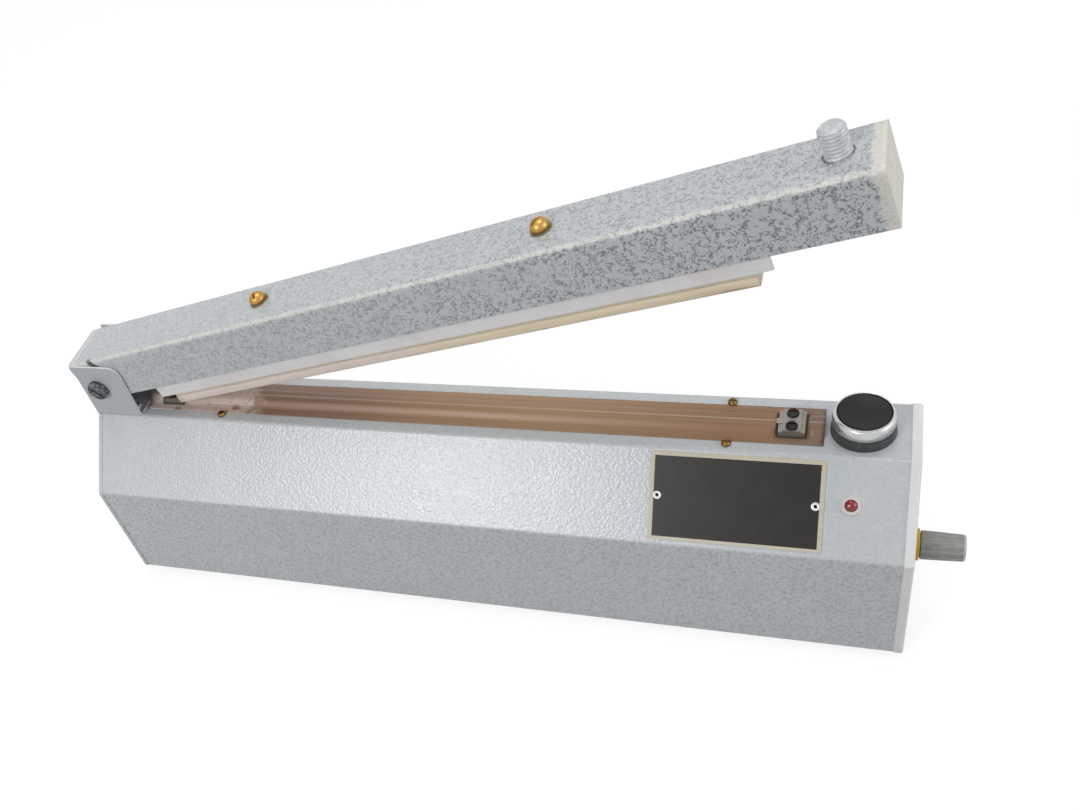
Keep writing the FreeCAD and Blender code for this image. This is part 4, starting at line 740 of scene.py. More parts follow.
class SEALER_OT_moulded(bpy.types.Operator):
    """Finishes the plastic, rubber, laminate and inner pieces"""

    bl_idname = "sealer.moulded"
    bl_label = "Plastics and inner pieces"

    def execute(self, context):
        colours = context.scene.sealer_colours
        black = tint(44, 44, 45)
        housing = moulded("black_moulding", black, 0.42)
        dress(housing, "button_ring_nut", "contact_block", "cord_gland", "timer_relay")
        dress(skirt_plastic(), "button_housing")
        dress(moulded("foot_rubber", tint(38, 38, 38), 0.75, depth=0.00005), "rubber_feet")
        dress(moulded("phenolic_laminate", tint(150, 112, 72), 0.5), "seal_former", "terminal_pads")
        dress(moulded("cream_silicone", tint(226, 218, 198), 0.55, 0.3), "silicone_strip")
        dress(moulded("white_nylon", tint(222, 221, 214), 0.5), "board_supports")
        dress(moulded("yellow_ring", colours.collar[:], 0.5, 0.5), "knob_collar")
        dress(moulded("capacitor_sleeve", tint(44, 62, 118), 0.35), "timer_capacitor")
        dress(board_laminate(), "timer_board")
        dress(winding_tape(), "primary_winding", "secondary_winding")
        return {"FINISHED"}


def skirt_plastic():
    """Black skirt of the push button, with fine upright ribs, their crests painted lighter as a painted
    highlight, and a soft shine.
    """
    black = tint(52, 53, 54)
    look = Look("button_skirt", black, 0.38)
    low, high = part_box("button_housing")
    middle = (low + high) / 2
    place = look.moved(look.place(), middle)
    side, depth, height = look.parts(place)
    angle = look.node("Math", {"operation": "ARCTAN2"}, {0: depth, 1: side})
    rib_count = 90
    ribs = (angle * rib_count).sine() * 0.5 + 0.5
    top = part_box("base_shell")[1].z - middle.z
    band = height.step(top + 0.0002, top + 0.0006) * (1 - height.step(top + 0.0040, top + 0.0044))
    cloud = look.noise(place, 0.004, 3, 0.6)
    dusty = look.mix(cloud.step(0.4, 0.7) * 0.3, black, tint(84, 86, 87))
    # Painted highlight: the ribs' crests within the band are painted lighter.
    look.set("Base Color", look.mix(ribs * band * 0.35, dusty, tint(104, 106, 107)))
    look.set("Roughness", 0.32 + cloud * 0.2)
    look.bump(ribs * band, 0.0003)
    return look


def board_laminate():
    """Green circuit board with paler tracks."""
    green = tint(36, 96, 58)
    look = Look("board_laminate", green, 0.35)
    place = look.place()
    east, north, _ = look.parts(place)
    track_rate, gap_rate = 2000, 260
    lanes = (east * track_rate).sine().step(0.55, 0.75) * (north * gap_rate).sine().step(-0.2, 0.1)
    cloud = look.noise(place, 0.006, 3, 0.6)
    look.set("Base Color", look.mix(lanes * 0.5 + cloud * 0.1, green, tint(72, 134, 82)))
    look.set("Roughness", 0.3 + cloud * 0.2)
    look.bump(lanes, 0.00003)
    return look


def winding_tape():
    """Amber tape over copper turns."""
    amber = tint(176, 122, 48)
    look = Look("winding_tape", amber, 0.35)
    place = look.place()
    _, _, height = look.parts(place)
    turn_rate = 9000
    turns = (height * turn_rate).sine() * 0.5 + 0.5
    cloud = look.noise(place, 0.005, 3, 0.6)
    look.set("Base Color", look.mix(turns * 0.35 + cloud * 0.25, amber, tint(116, 66, 28)))
    look.set("Roughness", 0.3 + cloud * 0.2)
    look.bump(turns, 0.0001)
    return look


class SEALER_OT_nameplate(bpy.types.Operator):
    """Finishes the nameplate, a blank dark field in a pale border, and rolls its two eyelets"""

    bl_idname = "sealer.nameplate"
    bl_label = "Nameplate"

    def execute(self, context):
        sizes, colours = context.scene.sealer_sizes, context.scene.sealer_colours
        low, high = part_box("nameplate")
        middle, half_size = (low + high) / 2, (high - low) / 2
        look = Look("printed_plate", colours.plate[:], 0.3, specular_ior_level=0.35)
        place = look.place()
        side, _, rise = look.parts(look.moved(place, middle))
        climb = math.sin(facet_slope())
        edge = sizes.plate_border
        faded = edge * 1.15
        wide = abs(side).step(half_size.x - faded, half_size.x - edge)
        tall = abs(rise).step(half_size.z - faded * climb, half_size.z - edge * climb)
        border = wide.most(tall)
        scuffs = look.noise(look.stretched(place, (1, 0.2, 0.2)), 0.0012, 3, 0.7).step(0.62, 0.8)
        cloud = look.noise(place, 0.012, 3, 0.6)
        field = look.mix(cloud.step(0.35, 0.7) * 0.5, colours.plate[:], tint(36, 29, 25))
        field = look.mix(scuffs * 0.12, field, tint(120, 114, 106))
        aged = look.mix(cloud * 0.5, colours.plate_edge[:], shaded(colours.plate_edge, 0.72))
        look.set("Base Color", look.mix(border, field, aged))
        look.set("Roughness", 0.26 + cloud * 0.16 + border * 0.15)
        look.bump(border * 0.6 + scuffs * 0.15, 0.00006)
        dress(look, "nameplate")
        self.eyelets()
        return {"FINISHED"}

    def eyelets(self):
        """Rolls the two hollow rivets that hold the plate."""
        rolled, shank, bore, deep = 0.00185, 0.00115, 0.00075, 0.0024
        outline = [
            (bore, -deep),
            (shank, -deep),
            (shank, 0.0),
            (rolled, 0.0),
            (rolled, 0.0002),
            (rolled * 0.9, 0.00045),
            (rolled * 0.72, 0.00055),
            (rolled * 0.55, 0.00045),
            (bore, 0.0002),
            (bore, -deep),
        ]
        eyelet = turn("eyelet", outline, 40, hollow=True)
        _, plate = on_facet([vertex.co for vertex in frame["nodes"]["nameplate"].data.vertices])
        matrices = []
        for points in groups_along("nameplate_rivets"):
            low, high = on_facet(points)
            middle = (low + high) / 2
            matrices.append(facet_axes() @ Matrix.Translation((middle.x, middle.y, plate.z)))
        look = plated("bright_eyelet", tint(232, 232, 230), 0.3, tarnish=0.3, metallic=0.4)
        for piece in copies(eyelet, matrices):
            paint_on(look, piece)
            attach(piece, "base")
            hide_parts("nameplate_rivets")


def groups_along(node, gap=0.02):
    """The vertices of a node's pieces that stand more than a gap apart along X."""
    points = sorted((vertex.co for vertex in frame["nodes"][node].data.vertices), key=lambda p: p.x)
    groups = [[points[0]]]
    for before, point in zip(points, points[1:]):
        if point.x - before.x > gap:
            groups.append([])
        groups[-1].append(point)
    return groups


def quarter_round(radius, height, width, tall, steps):
    """The end of a turned outline, from upright at a radius and height to level and narrower."""
    points = []
    for index in range(1, steps + 1):
        turned = math.pi / 2 * index / steps
        points.append((radius - width * (1 - math.cos(turned)), height + tall * math.sin(turned)))
    return points


def smoothstep(value, start, end):
    """0 up to start, 1 from end, and a smooth rise between them."""
    share = min(1.0, max(0.0, (value - start) / (end - start)))
    return share * share * (3 - 2 * share)


def spread(start, end, step, stops=()):
    """Even places from start to end, with every stop among them."""
    count = max(1, round((end - start) / step))
    places = {round(start + (end - start) * index / count, 7) for index in range(count + 1)}
    near = step * 0.4
    kept = {place for place in places if all(abs(place - stop) > near for stop in stops)}
    ends = {round(start, 7), round(end, 7)}
    return sorted(kept | ends | {round(stop, 7) for stop in stops})


def cloth_sheet(name, alongs, section, place_at, skip=lambda along, across: False):
    """A sheet through a section at each place along it, with the flat cut as its UV map."""
    mesh = bpy.data.meshes.new(name)
    sheet = bpy.data.objects.new(name, mesh)
    bpy.context.scene.collection.objects.link(sheet)
    made = bmesh.new()
    flat = made.loops.layers.uv.new("flat")
    rows, cuts = [], []
    for along in alongs:
        points = section(along)
        reach = [0.0]
        for first, second in zip(points, points[1:]):
            reach.append(reach[-1] + math.dist(first, second))
        rows.append([made.verts.new(place_at(along, *point)) for point in points])
        cuts.append([(distance, along) for distance in reach])
    for row in range(len(rows) - 1):
        for column in range(len(rows[row]) - 1):
            corners = [(row, column), (row, column + 1), (row + 1, column + 1), (row + 1, column)]
            points = section(alongs[row])
            middle = (points[column][0] + points[column + 1][0]) / 2
            if skip((alongs[row] + alongs[row + 1]) / 2, middle):
                continue
            face = made.faces.new([rows[r][c] for r, c in corners])
            face.smooth = True
            for loop, (r, c) in zip(face.loops, corners):
                loop[flat].uv = cuts[r][c]
    loose = [vertex for vertex in made.verts if not vertex.link_faces]
    bmesh.ops.delete(made, geom=loose, context="VERTS")
    made.to_mesh(mesh)
    made.free()
    return sheet


class SEALER_OT_release_cloth(bpy.types.Operator):
    """Stretches the brown release cloth over the ribbon's former, with its two windows"""

    bl_idname = "sealer.release_cloth"
    bl_label = "Release cloth"

    def execute(self, context):
        sizes = context.scene.sealer_sizes
        low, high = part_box("ptfe_cloth")
        former_low, former_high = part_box("seal_former")
        sample = former_low.x + 0.01
        windows = [self.window(extent(group)) for group in groups_along("terminal_blocks")]
        edges = sorted({edge for window in windows for edge in window[:2]})
        half_window = windows[0][2]
        side = high.y
        foot, crown = former_high.y + 0.0009, 0.0024
        thick = sizes.cloth_thick
        crest = high.z - thick
        floor = low.z

        def height(along, across):
            lift = 1 - smoothstep(abs(across), crown, foot)
            ripple = 0.00003 * math.sin(along * 310 + 2 * math.sin(along * 47))
            sag = 0.00005 * math.sin(along * 95 + across * 220)
            return floor + (crest - floor) * lift + max(0.0, ripple + sag) * (1 - lift)

        stops = (-half_window, half_window)
        acrosses = spread(-side, side, 0.0006, stops)

        def section(along):
            return [(across, height(along, across)) for across in acrosses]

        def skip(along, across):
            return any(start < along < end and abs(across) < half for start, end, half in windows)

        alongs = spread(low.x, high.x, 0.0022, edges)
        cloth = cloth_sheet("release_cloth", alongs, section, self.place, skip)
        outwards_of_sheet(cloth)
        modify(cloth, "SOLIDIFY", thickness=thick, offset=1.0, use_even_offset=True)
        paint_on(cloth_weave(low, high), cloth)
        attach(cloth, "base")
        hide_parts("ptfe_cloth")
        width = flat_width(section(sample))
        run = high.x - low.x
        holes = sum((end - start) * 2 * half for start, end, half in windows)
        width * run - holes
        return {"FINISHED"}

    @staticmethod
    def window(box):
        """The window over one terminal: its start, its end and half its width."""
        half_long, half_wide = 0.0066, 0.0072
        low, high = box
        middle = (low.x + high.x) / 2
        return middle - half_long, middle + half_long, half_wide

    @staticmethod
    def place(along, across, height):
        """The base's own axes are the frame's."""
        return (along, across, height)


def flat_width(points):
    """The width of a section once it is laid flat."""
    return sum(math.dist(first, second) for first, second in zip(points, points[1:]))


def outwards_of_sheet(sheet):
    """Turns all of an open sheet's faces the same way, upwards."""
    take(sheet)
    bpy.ops.object.mode_set(mode="EDIT")
    bpy.ops.mesh.select_all(action="SELECT")
    bpy.ops.mesh.normals_make_consistent(inside=False)
    bpy.ops.object.mode_set(mode="OBJECT")


def plain_weave(look, across, along):
    """The raised threads of a plain weave, from 0 to 1."""
    turn_rate = 2 * math.pi / bpy.context.scene.sealer_sizes.weave_pitch
    return (across * turn_rate).sine() * (along * turn_rate).sine() * 0.5 + 0.5


def cloth_weave(low, high):
    """Coated glass cloth: a faint plain weave, gloss, three browns, a pale patch near the hinge that is a
    painted reflection, and a painted highlight along its ridge.
    """
    colours = bpy.context.scene.sealer_colours
    look = Look("release_cloth", colours.cloth[:], 0.35, coat_roughness=0.25)
    flat = look.flat()
    across, along, _ = look.parts(flat)
    weave = plain_weave(look, across, along)
    streaks = look.noise(look.stretched(flat, (1, 0.03, 1)), 0.0016, 3, 0.6)
    cloud = look.noise(look.stretched(flat, (1, 0.25, 1)), 0.014, 3, 0.55)
    long = high.x - low.x
    middle_part = along.step(low.x + long * 0.3, low.x + long * 0.5)
    brown = look.mix(middle_part, colours.cloth_left[:], colours.cloth[:])
    brown = look.mix(along.step(low.x + long * 0.6, low.x + long * 0.92), brown, colours.cloth_right[:])
    brown = look.mix(streaks.step(0.48, 0.75) * 0.22, brown, shaded(colours.cloth, 1.2))
    ragged = look.noise(flat, 0.008, 3, 0.62)
    shift = (ragged - 0.5) * 0.05
    # Painted reflection: a pale patch near the hinge end of the cloth, also a little glossier.
    patch = 1 - (along + shift).step(low.x + 0.058, low.x + 0.07)
    patch = patch * (1 - (across + (ragged - 0.5) * 0.014).step(0.0152, 0.0178))
    patch = patch * ragged.step(0.34, 0.46)
    brown = look.mix(patch * 0.85, brown, colours.cloth_reflection[:])
    tape = along.step(high.x - 0.017, high.x - 0.0155)
    brown = look.mix(tape * 0.45, brown, tint(120, 112, 100))
    # Painted highlight: a pale line along the cloth's ridge, where it tents over the ribbon.
    line = 1 - abs(across - flat_middle()).step(0.00015, 0.0006)
    brown = look.mix(line * 0.4, brown, tint(226, 206, 182))
    look.set("Base Color", look.mix(weave * 0.05, brown, shaded(colours.cloth, 0.6)))
    look.set("Roughness", (0.32 + cloud * 0.16 - patch * 0.06 + weave * 0.04).bounded())
    look.set("Coat Weight", 0.2)
    look.bump(weave * 0.4 + streaks * 0.5, 0.00003)
    return look


def flat_middle():
    """How far the cloth's middle lies from its edge on the flat cut."""
    low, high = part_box("ptfe_cloth")
    rise = 0.0007
    return (high.y - low.y) / 2 + rise


class SEALER_OT_strip_wrap(bpy.types.Operator):
    """Wraps the same cloth round the rubber strip under the pressure bar"""

    bl_idname = "sealer.strip_wrap"
    bl_label = "Strip wrap"

    def execute(self, context):
        sizes = context.scene.sealer_sizes
        low, high = arm_box("strip_wrap")
        thick = sizes.cloth_thick
        half_width = high.y - thick
        bottom = low.z + thick
        corner, arc_steps = 0.0012, 5
        arc = []
        for index in range(arc_steps + 1):
            turned = math.radians(90 * index / arc_steps)
            across = -(half_width - corner) - corner * math.cos(turned)
            arc.append((across, bottom + corner - corner * math.sin(turned)))

        def section(along):
            wave = 0.00008 * math.sin(along * 140) + 0.00005 * math.sin(along * 390)
            side = [(-half_width, high.z - 0.0002 + wave), (-half_width, (high.z + bottom) / 2)]
            left = side + arc
            right = [(-y, z) for y, z in reversed(left)]
            flat = [(y * half_width / 5, bottom) for y in range(-4, 5)]
            inner = [point for point in flat if abs(point[0]) < half_width - corner - 0.0005]
            return left + inner + right

        matrix = arm_matrix()

        def place(along, across, up):
            return matrix @ Vector((along, across, up))

        alongs = spread(low.x, high.x, 0.005)
        wrap = cloth_sheet("strip_wrap_cloth", alongs, section, place)
        modify(wrap, "SOLIDIFY", thickness=thick, offset=1.0, use_even_offset=True)
        paint_on(wrap_weave(), wrap)
        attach(wrap, "pressure_bar")
        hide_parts("strip_wrap")
        cut = (flat_width(section(low.x)), high.x - low.x)
        return {"FINISHED"}


def wrap_weave():
    """The wrap's cream cloth, brown-streaked along its foot and paler near the hinge."""
    colours = bpy.context.scene.sealer_colours
    look = Look("wrap_cloth", colours.wrap[:], 0.4)
    flat = look.flat()
    across, along, _ = look.parts(flat)
    low, high = arm_box("strip_wrap")
    weave = plain_weave(look, across, along)
    cloud = look.noise(look.stretched(flat, (1, 0.2, 1)), 0.01, 3, 0.6)
    streaks = look.noise(look.stretched(flat, (1, 0.025, 1)), 0.0011, 3, 0.65)
    far = along.step(low.x + (high.x - low.x) * 0.45, high.x)
    near = look.mix(cloud.step(0.4, 0.65) * 0.4, colours.wrap_pale[:], shaded(colours.wrap_pale, 0.88))
    warm = look.mix(cloud.step(0.35, 0.65) * 0.45, colours.wrap[:], shaded(colours.wrap, 0.84))
    cream = look.mix(along.step(low.x + 0.1, low.x + 0.2), near, warm)
    foot = across.step(high.z - low.z - 0.0028, high.z - low.z - 0.0008)
    brown = (streaks.step(0.5, 0.62) * (foot * 0.6 + 0.12) * (far * 0.75 + 0.25)).bounded()
    shade = look.mix(brown, cream, tint(142, 112, 76))
    look.set("Base Color", look.mix(weave * 0.06, shade, shaded(colours.wrap, 0.6)))
    look.set("Roughness", 0.34 + cloud * 0.2)
    look.bump(weave, 0.00003)
    return look


class SEALER_OT_adjusting_stud(bpy.types.Operator):
    """Cuts the adjusting stud's thread as a true helix with chamfered ends"""

    bl_idname = "sealer.adjusting_stud"
    bl_label = "Adjusting stud"

    def execute(self, context):
        sizes = context.scene.sealer_sizes
        low, high = arm_box("adjusting_stud")
        radius = (high.y - low.y) / 2
        tall = high.z - low.z
        pitch, depth = sizes.thread_pitch, sizes.thread_depth
        spare_turns, steps = 4, 40
        hands_off()
        bpy.ops.mesh.primitive_circle_add(vertices=4, radius=pitch / 2, rotation=(math.pi / 2, 0, 0))
        stud = bpy.context.object
        stud.name = stud.data.name = "threaded_stud"
        bpy.ops.object.transform_apply(location=True, rotation=True, scale=True)
        bpy.ops.object.mode_set(mode="EDIT")
        pick(stud, lambda point: point.x < -pitch / 4, "VERT")
        bpy.ops.mesh.delete(type="VERT")
        bpy.ops.mesh.select_all(action="SELECT")
        factor = depth / (pitch / 2)
        bpy.ops.transform.resize(value=(factor, 1, 1), center_override=(0, 0, 0))
        bpy.ops.transform.translate(value=(radius - depth, 0, -2 * pitch))
        bpy.ops.object.mode_set(mode="OBJECT")
        turns = math.ceil(tall / pitch) + spare_turns
        modify(
            stud,
            "SCREW",
            axis="Z",
            angle=2 * math.pi,
            screw_offset=pitch,
            iterations=turns,
            steps=steps,
            render_steps=steps,
            use_merge_vertices=True,
            merge_threshold=0.00001,
        )
        for height, outer in ((-pitch / 4, False), (tall + pitch / 4, True)):
            take(stud)
            bpy.ops.object.mode_set(mode="EDIT")
            bpy.ops.mesh.select_all(action="SELECT")
            bpy.ops.mesh.bisect(
                plane_co=(0, 0, height),
                plane_no=(0, 0, 1),
                use_fill=True,
                clear_inner=not outer,
                clear_outer=outer,
            )
            outwards(stud)
        chamfer = sizes.stud_chamfer
        outline = [
            (radius - chamfer, 0),
            (radius, chamfer),
            (radius, tall - chamfer),
            (radius - chamfer, tall),
        ]
        carve(stud, turn("stud_blank", outline, 48), "INTERSECT")
        middle = (low + high) / 2
        settle(stud, arm_matrix(middle.x, middle.y, low.z), 25)
        paint_on(galvanised(), stud)
        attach(stud, "arm")
        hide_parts("adjusting_stud")
        return {"FINISHED"}


class SEALER_OT_guide_screws(bpy.types.Operator):
    """Turns the pressure bar's two domed brass guide screws and slots their heads"""

    bl_idname = "sealer.guide_screws"
    bl_label = "Guide screws"

    def execute(self, context):
        sizes, colours = context.scene.sealer_sizes, context.scene.sealer_colours
        low, high = arm_box("guide_screws")
        washer_low, washer_high = arm_box("guide_washers")
        washer_radius = (washer_high.y - washer_low.y) / 2
        head = (high.y - low.y) / 2
        seat = washer_high.z
        tall = high.z - seat
        shank = 0.002
        rim = 0.12
        dome = [(head, seat + tall * rim)]
        for index in range(1, 9):
            turned = math.radians(84 * index / 8)
            height = seat + tall * (rim + (1 - rim) * math.sin(turned))
            dome.append((head * math.cos(turned) ** 0.8, height))
        outline = [(shank * 0.8, low.z), (shank, low.z + 0.0004), (shank, seat), (head * 0.94, seat)]
        screw = turn("guide_screw", outline + dome, 48)
        half_slot = sizes.screw_slot / 2
        slot_floor, clear = high.z - tall * 0.32, 0.001
        reach = head * 1.2
        carve(screw, block((-half_slot, -reach, slot_floor), (half_slot, reach, high.z + clear)))
        sharp = math.radians(40)
        modify(screw, "BEVEL", width=0.00015, segments=2, limit_method="ANGLE", angle_limit=sharp)
        matrices = []
        for along, twist in ((washer_low.x + washer_radius, 20), (washer_high.x - washer_radius, -35)):
            matrices.append(arm_matrix(along) @ Matrix.Rotation(math.radians(twist), 4, "Z"))
        look = plated("turned_brass", colours.brass[:], 0.26, tarnish=0.5, depth=0.00002)
        for piece in copies(screw, matrices):
            paint_on(look, piece)
            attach(piece, "pressure_bar")
            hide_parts("guide_screws")
        return {"FINISHED"}


class SEALER_OT_push_button(bpy.types.Operator):
    """Makes the push button's dished cap and its rolled bright bezel"""

    bl_idname = "sealer.push_button"
    bl_label = "Push button"

    def execute(self, context):
        low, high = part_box("button_cap")
        middle = (low + high) / 2
        radius = (high.y - low.y) / 2
        stem, skirt, edge, dish = 0.004, 0.006, 0.0012, 0.0011
        crown = high.z
        step = crown - skirt
        outline = [(stem, low.z), (stem, step), (radius, step), (radius, crown - edge)]
        outline += quarter_round(radius, crown - edge, edge, edge, 5)
        for share in (0.86, 0.72, 0.56, 0.4, 0.24, 0.1):
            outline.append((radius * share, crown - dish * math.cos(share * math.pi / 1.8)))
        outline.append((0, crown - dish))
        cap = turn("button_cap_dished", outline, 72)
        settle(cap, Matrix.Translation((middle.x, middle.y, 0)), 50)
        paint_on(self.cap_plastic(), cap)
        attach(cap, "button")
        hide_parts("button_cap")

        low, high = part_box("button_bezel")
        middle = (low + high) / 2
        outer = (high.y - low.y) / 2
        running_gap, foot_chamfer, roll = 0.00025, 0.0003, 0.0012
        inner = radius + running_gap
        tall = high.z - low.z
        shoulder = low.z + tall * 0.42
        rim = [(inner, low.z), (outer - foot_chamfer, low.z), (outer, low.z + foot_chamfer)]
        rim.append((outer, shoulder))
        rim += quarter_round(outer, shoulder, roll, tall * 0.5, 6)
        rim += [
            (outer - 0.0016, high.z - 0.0001),
            (inner + 0.0005, high.z),
            (inner + 0.0001, high.z - 0.0003),
            (inner, high.z - 0.0007),
            (inner, low.z),
        ]
        bezel = turn("button_bezel_rolled", rim, 96, hollow=True)
        settle(bezel, Matrix.Translation((middle.x, middle.y, 0)), 50)
        paint_on(self.chrome(), bezel)
        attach(bezel, "base")
        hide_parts("button_bezel")
        return {"FINISHED"}

    @staticmethod
    def cap_plastic():
        """Black plastic, smeared by fingers."""
        black = tint(12, 13, 14)
        look = Look("button_cap_plastic", black, 0.4, specular_ior_level=0.3)
        place = look.place()
        smears = look.noise(look.stretched(place, (1, 0.4, 1)), 0.004, 4, 0.65)
        skin = look.noise(place, 0.0004, 2, 0.5)
        look.set("Base Color", look.mix(smears.step(0.4, 0.7) * 0.35, black, tint(26, 28, 29)))
        look.set("Roughness", 0.3 + smears * 0.25)
        look.bump(skin, 0.00002)
        return look

    @staticmethod
    def chrome():
        """Bright plating with rubbed lines round it."""
        bright = tint(200, 201, 202)
        look = Look("bezel_metal", bright, 0.24, metallic=0.9)
        place = look.place()
        rubs = look.noise(look.stretched(place, (1, 1, 5)), 0.0012, 3, 0.6)
        cloud = look.noise(place, 0.005, 3, 0.6)
        shade = look.mix(cloud.step(0.42, 0.66) * 0.25, bright, tint(150, 151, 152))
        look.set("Base Color", look.mix(rubs.step(0.6, 0.8) * 0.2, shade, tint(232, 232, 232)))
        look.set("Roughness", 0.16 + rubs * 0.2)
        look.bump(rubs, 0.00001)
        return look


class SEALER_OT_timer_knob(bpy.types.Operator):
    """Moulds the timer knob with its flats, tapered sides and dished end"""

    bl_idname = "sealer.timer_knob"
    bl_label = "Timer knob"

    def execute(self, context):
        low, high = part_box("timer_knob")
        middle = (low + high) / 2
        radius = (high.y - low.y) / 2
        long = high.x - low.x
        dished = long - 0.0004
        outline = [
            (radius * 0.97, 0),
            (radius, 0.0005),
            (radius * 0.965, long * 0.5),
            (radius * 0.92, long - 0.0009),
            (radius * 0.84, long - 0.0001),
            (radius * 0.8, long),
            (radius * 0.62, long),
            (radius * 0.58, dished),
            (radius * 0.2, dished),
            (0, dished),
        ]
        flats, deep, edge_round = 14, 0.004, 0.0006
        knob = turn("timer_knob_grip", outline, flats)
        take(knob)
        bpy.ops.object.mode_set(mode="EDIT")
        mesh = bmesh.from_edit_mesh(knob.data)
        bpy.ops.mesh.select_mode(type="EDGE")
        bpy.ops.mesh.select_all(action="DESELECT")
        for edge in mesh.edges:
            first, second = (vertex.co for vertex in edge.verts)
            upright = abs(first.z - second.z) > deep
            edge.select_set(upright and math.hypot(first.x, first.y) > radius * 0.8)
        bmesh.update_edit_mesh(knob.data)
        bpy.ops.mesh.bevel(offset=edge_round, segments=3, affect="EDGES")
        outwards(knob)
        quarter = Matrix.Rotation(math.pi / 2, 4, "Y")
        settle(knob, Matrix.Translation((low.x, middle.y, middle.z)) @ quarter, 28)
        paint_on(self.drawn_grey(high.x), knob)
        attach(knob, "knob")
        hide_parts("timer_knob")
        return {"FINISHED"}

    @staticmethod
    def drawn_grey(end):
        """Grey plastic with streaks along the knob, lighter at its far end."""
        grey = bpy.context.scene.sealer_colours.knob[:]
        look = Look("knob_plastic", grey, 0.42)
        place = look.place()
        reach, _, _ = look.parts(place)
        streaks = look.noise(look.stretched(place, (0.08, 1, 1)), 0.0014, 3, 0.6)
        cloud = look.noise(place, 0.004, 3, 0.6)
        shade = look.mix(streaks.step(0.42, 0.66) * 0.6, shaded(grey, 0.78), shaded(grey, 1.25))
        shade = look.mix(cloud.step(0.45, 0.7) * 0.35, shade, shaded(grey, 1.4))
        tip = reach.step(end - 0.0012, end - 0.0007)
        look.set("Base Color", look.mix(tip * 0.7, shade, tint(206, 204, 200)))
        look.set("Roughness", 0.34 + cloud * 0.2)
        look.bump(streaks, 0.00004)
        return look


class SEALER_OT_hinge_pin(bpy.types.Operator):
    """Turns the hinge pin with its flat, slotted and blackened head"""

    bl_idname = "sealer.hinge_pin"
    bl_label = "Hinge pin"

    def execute(self, context):
        low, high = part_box("hinge_pin")
        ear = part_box("hinge_bracket")[0]
        origin = Vector(joint("arm_hinge")["pos_m"])
        head = (high.z - low.z) / 2
        long = high.y - low.y
        head_tall = ear.y - low.y
        shank, half_slot, slot_deep, clear = 0.003, 0.0006, 0.0004, 0.001
        seat = long - head_tall
        outline = [
            (shank * 0.85, 0),
            (shank, 0.0005),
            (shank, seat),
            (head * 0.97, seat),
            (head, seat + 0.0003),
            (head, long - head_tall * 0.55),
            (head * 0.97, long - head_tall * 0.2),
            (head * 0.92, long - head_tall * 0.06),
            (head * 0.86, long),
            (head * 0.3, long),
            (0, long),
        ]
        pin = turn("hinge_pin_turned", outline, 48)
        reach = head * 1.2
        carve(pin, block((-half_slot, -reach, long - slot_deep), (half_slot, reach, long + clear)))
        lean = Matrix.Rotation(math.pi / 2, 4, "X") @ Matrix.Rotation(math.radians(50), 4, "Z")
        settle(pin, Matrix.Translation((origin.x, high.y, origin.z)) @ lean, 30)
        paint_on(blotched_steel(), pin)
        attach(pin, "base")
        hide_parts("hinge_pin")
        return {"FINISHED"}


def blotched_steel():
    """Blackened steel with grey blotches rubbed through."""
    look = Look("blackened_pin", tint(64, 66, 66), 0.5, metallic=0.3)
    place = look.place()
    blotch = look.noise(place, 0.0016, 3, 0.65)
    grain = look.noise(place, 0.0005, 2, 0.6)
    shade = look.mix(blotch.step(0.44, 0.6), tint(46, 48, 48), tint(128, 132, 134))
    look.set("Base Color", look.mix(grain.step(0.5, 0.7) * 0.3, shade, tint(84, 88, 88)))
    look.set("Roughness", 0.42 + blotch * 0.2)
    look.bump(blotch + grain * 0.3, 0.00006)
    return look


class SEALER_OT_signal_lamp(bpy.types.Operator):
    """Finishes the red signal lamp's lens and its pale ring"""

    bl_idname = "sealer.signal_lamp"
    bl_label = "Signal lamp"

    def execute(self, context):
        colours = context.scene.sealer_colours
        look = Look("lamp_lens", colours.lens[:], 0.22, coat_weight=0.3)
        place = look.place()
        depth = look.noise(place, 0.0012, 2, 0.5)
        bright = look.mix(depth.step(0.5, 0.7) * 0.4, colours.lens[:], tint(184, 60, 66))
        look.set("Base Color", bright)
        look.set("Roughness", 0.18 + depth * 0.15)
        look.bump(depth, 0.00003)
        dress(look, "signal_lamp")
        dress(moulded("lamp_ring_plastic", tint(228, 224, 220), 0.4, 0.2), "lamp_ring")
        return {"FINISHED"}


# ---------------------------------------------------------------------- stage


class StageView(bpy.types.PropertyGroup):
    """Where the camera stands and how strong the lights are."""

    azimuth: bearing("Azimuth", "Camera's way round the base", 30.53)
    elevation: bearing("Elevation", "Camera's height over the bench", 44.58)
    roll: bearing("Roll", "Camera's turn about its own line of sight", 18.61)
    distance: length("Distance", "From the camera to the point it looks at", 569.83)
    aim_left: length("Aim", "How far left of the base's middle the camera looks", 29.73)
    aim_height: length("Aim height", "How high above the bench the camera looks", 63.68)
    lens: amount("Focal length", "Of the lens, in millimetres", 37.075)
    shift_x: amount("Shift X", "Sideways shift of the frame", 0.1111)
    shift_y: amount("Shift Y", "Upward shift of the frame", 0.0463)
    key: amount("Key light", "Share of the light that comes from above", 0.31)
    sheen: amount("Front light", "Share from the low light in front", 0.3)
    side: amount("Side light", "Share from the right-hand side", 0.28)
    sky: amount("Room light", "Share that comes from all round", 0.3)
    floor: amount("Floor", "How pale the floor is as light falls on it", 0.33)
    glow: amount("Floor glow", "How much whiter the camera and bright metal see it", 0.78)


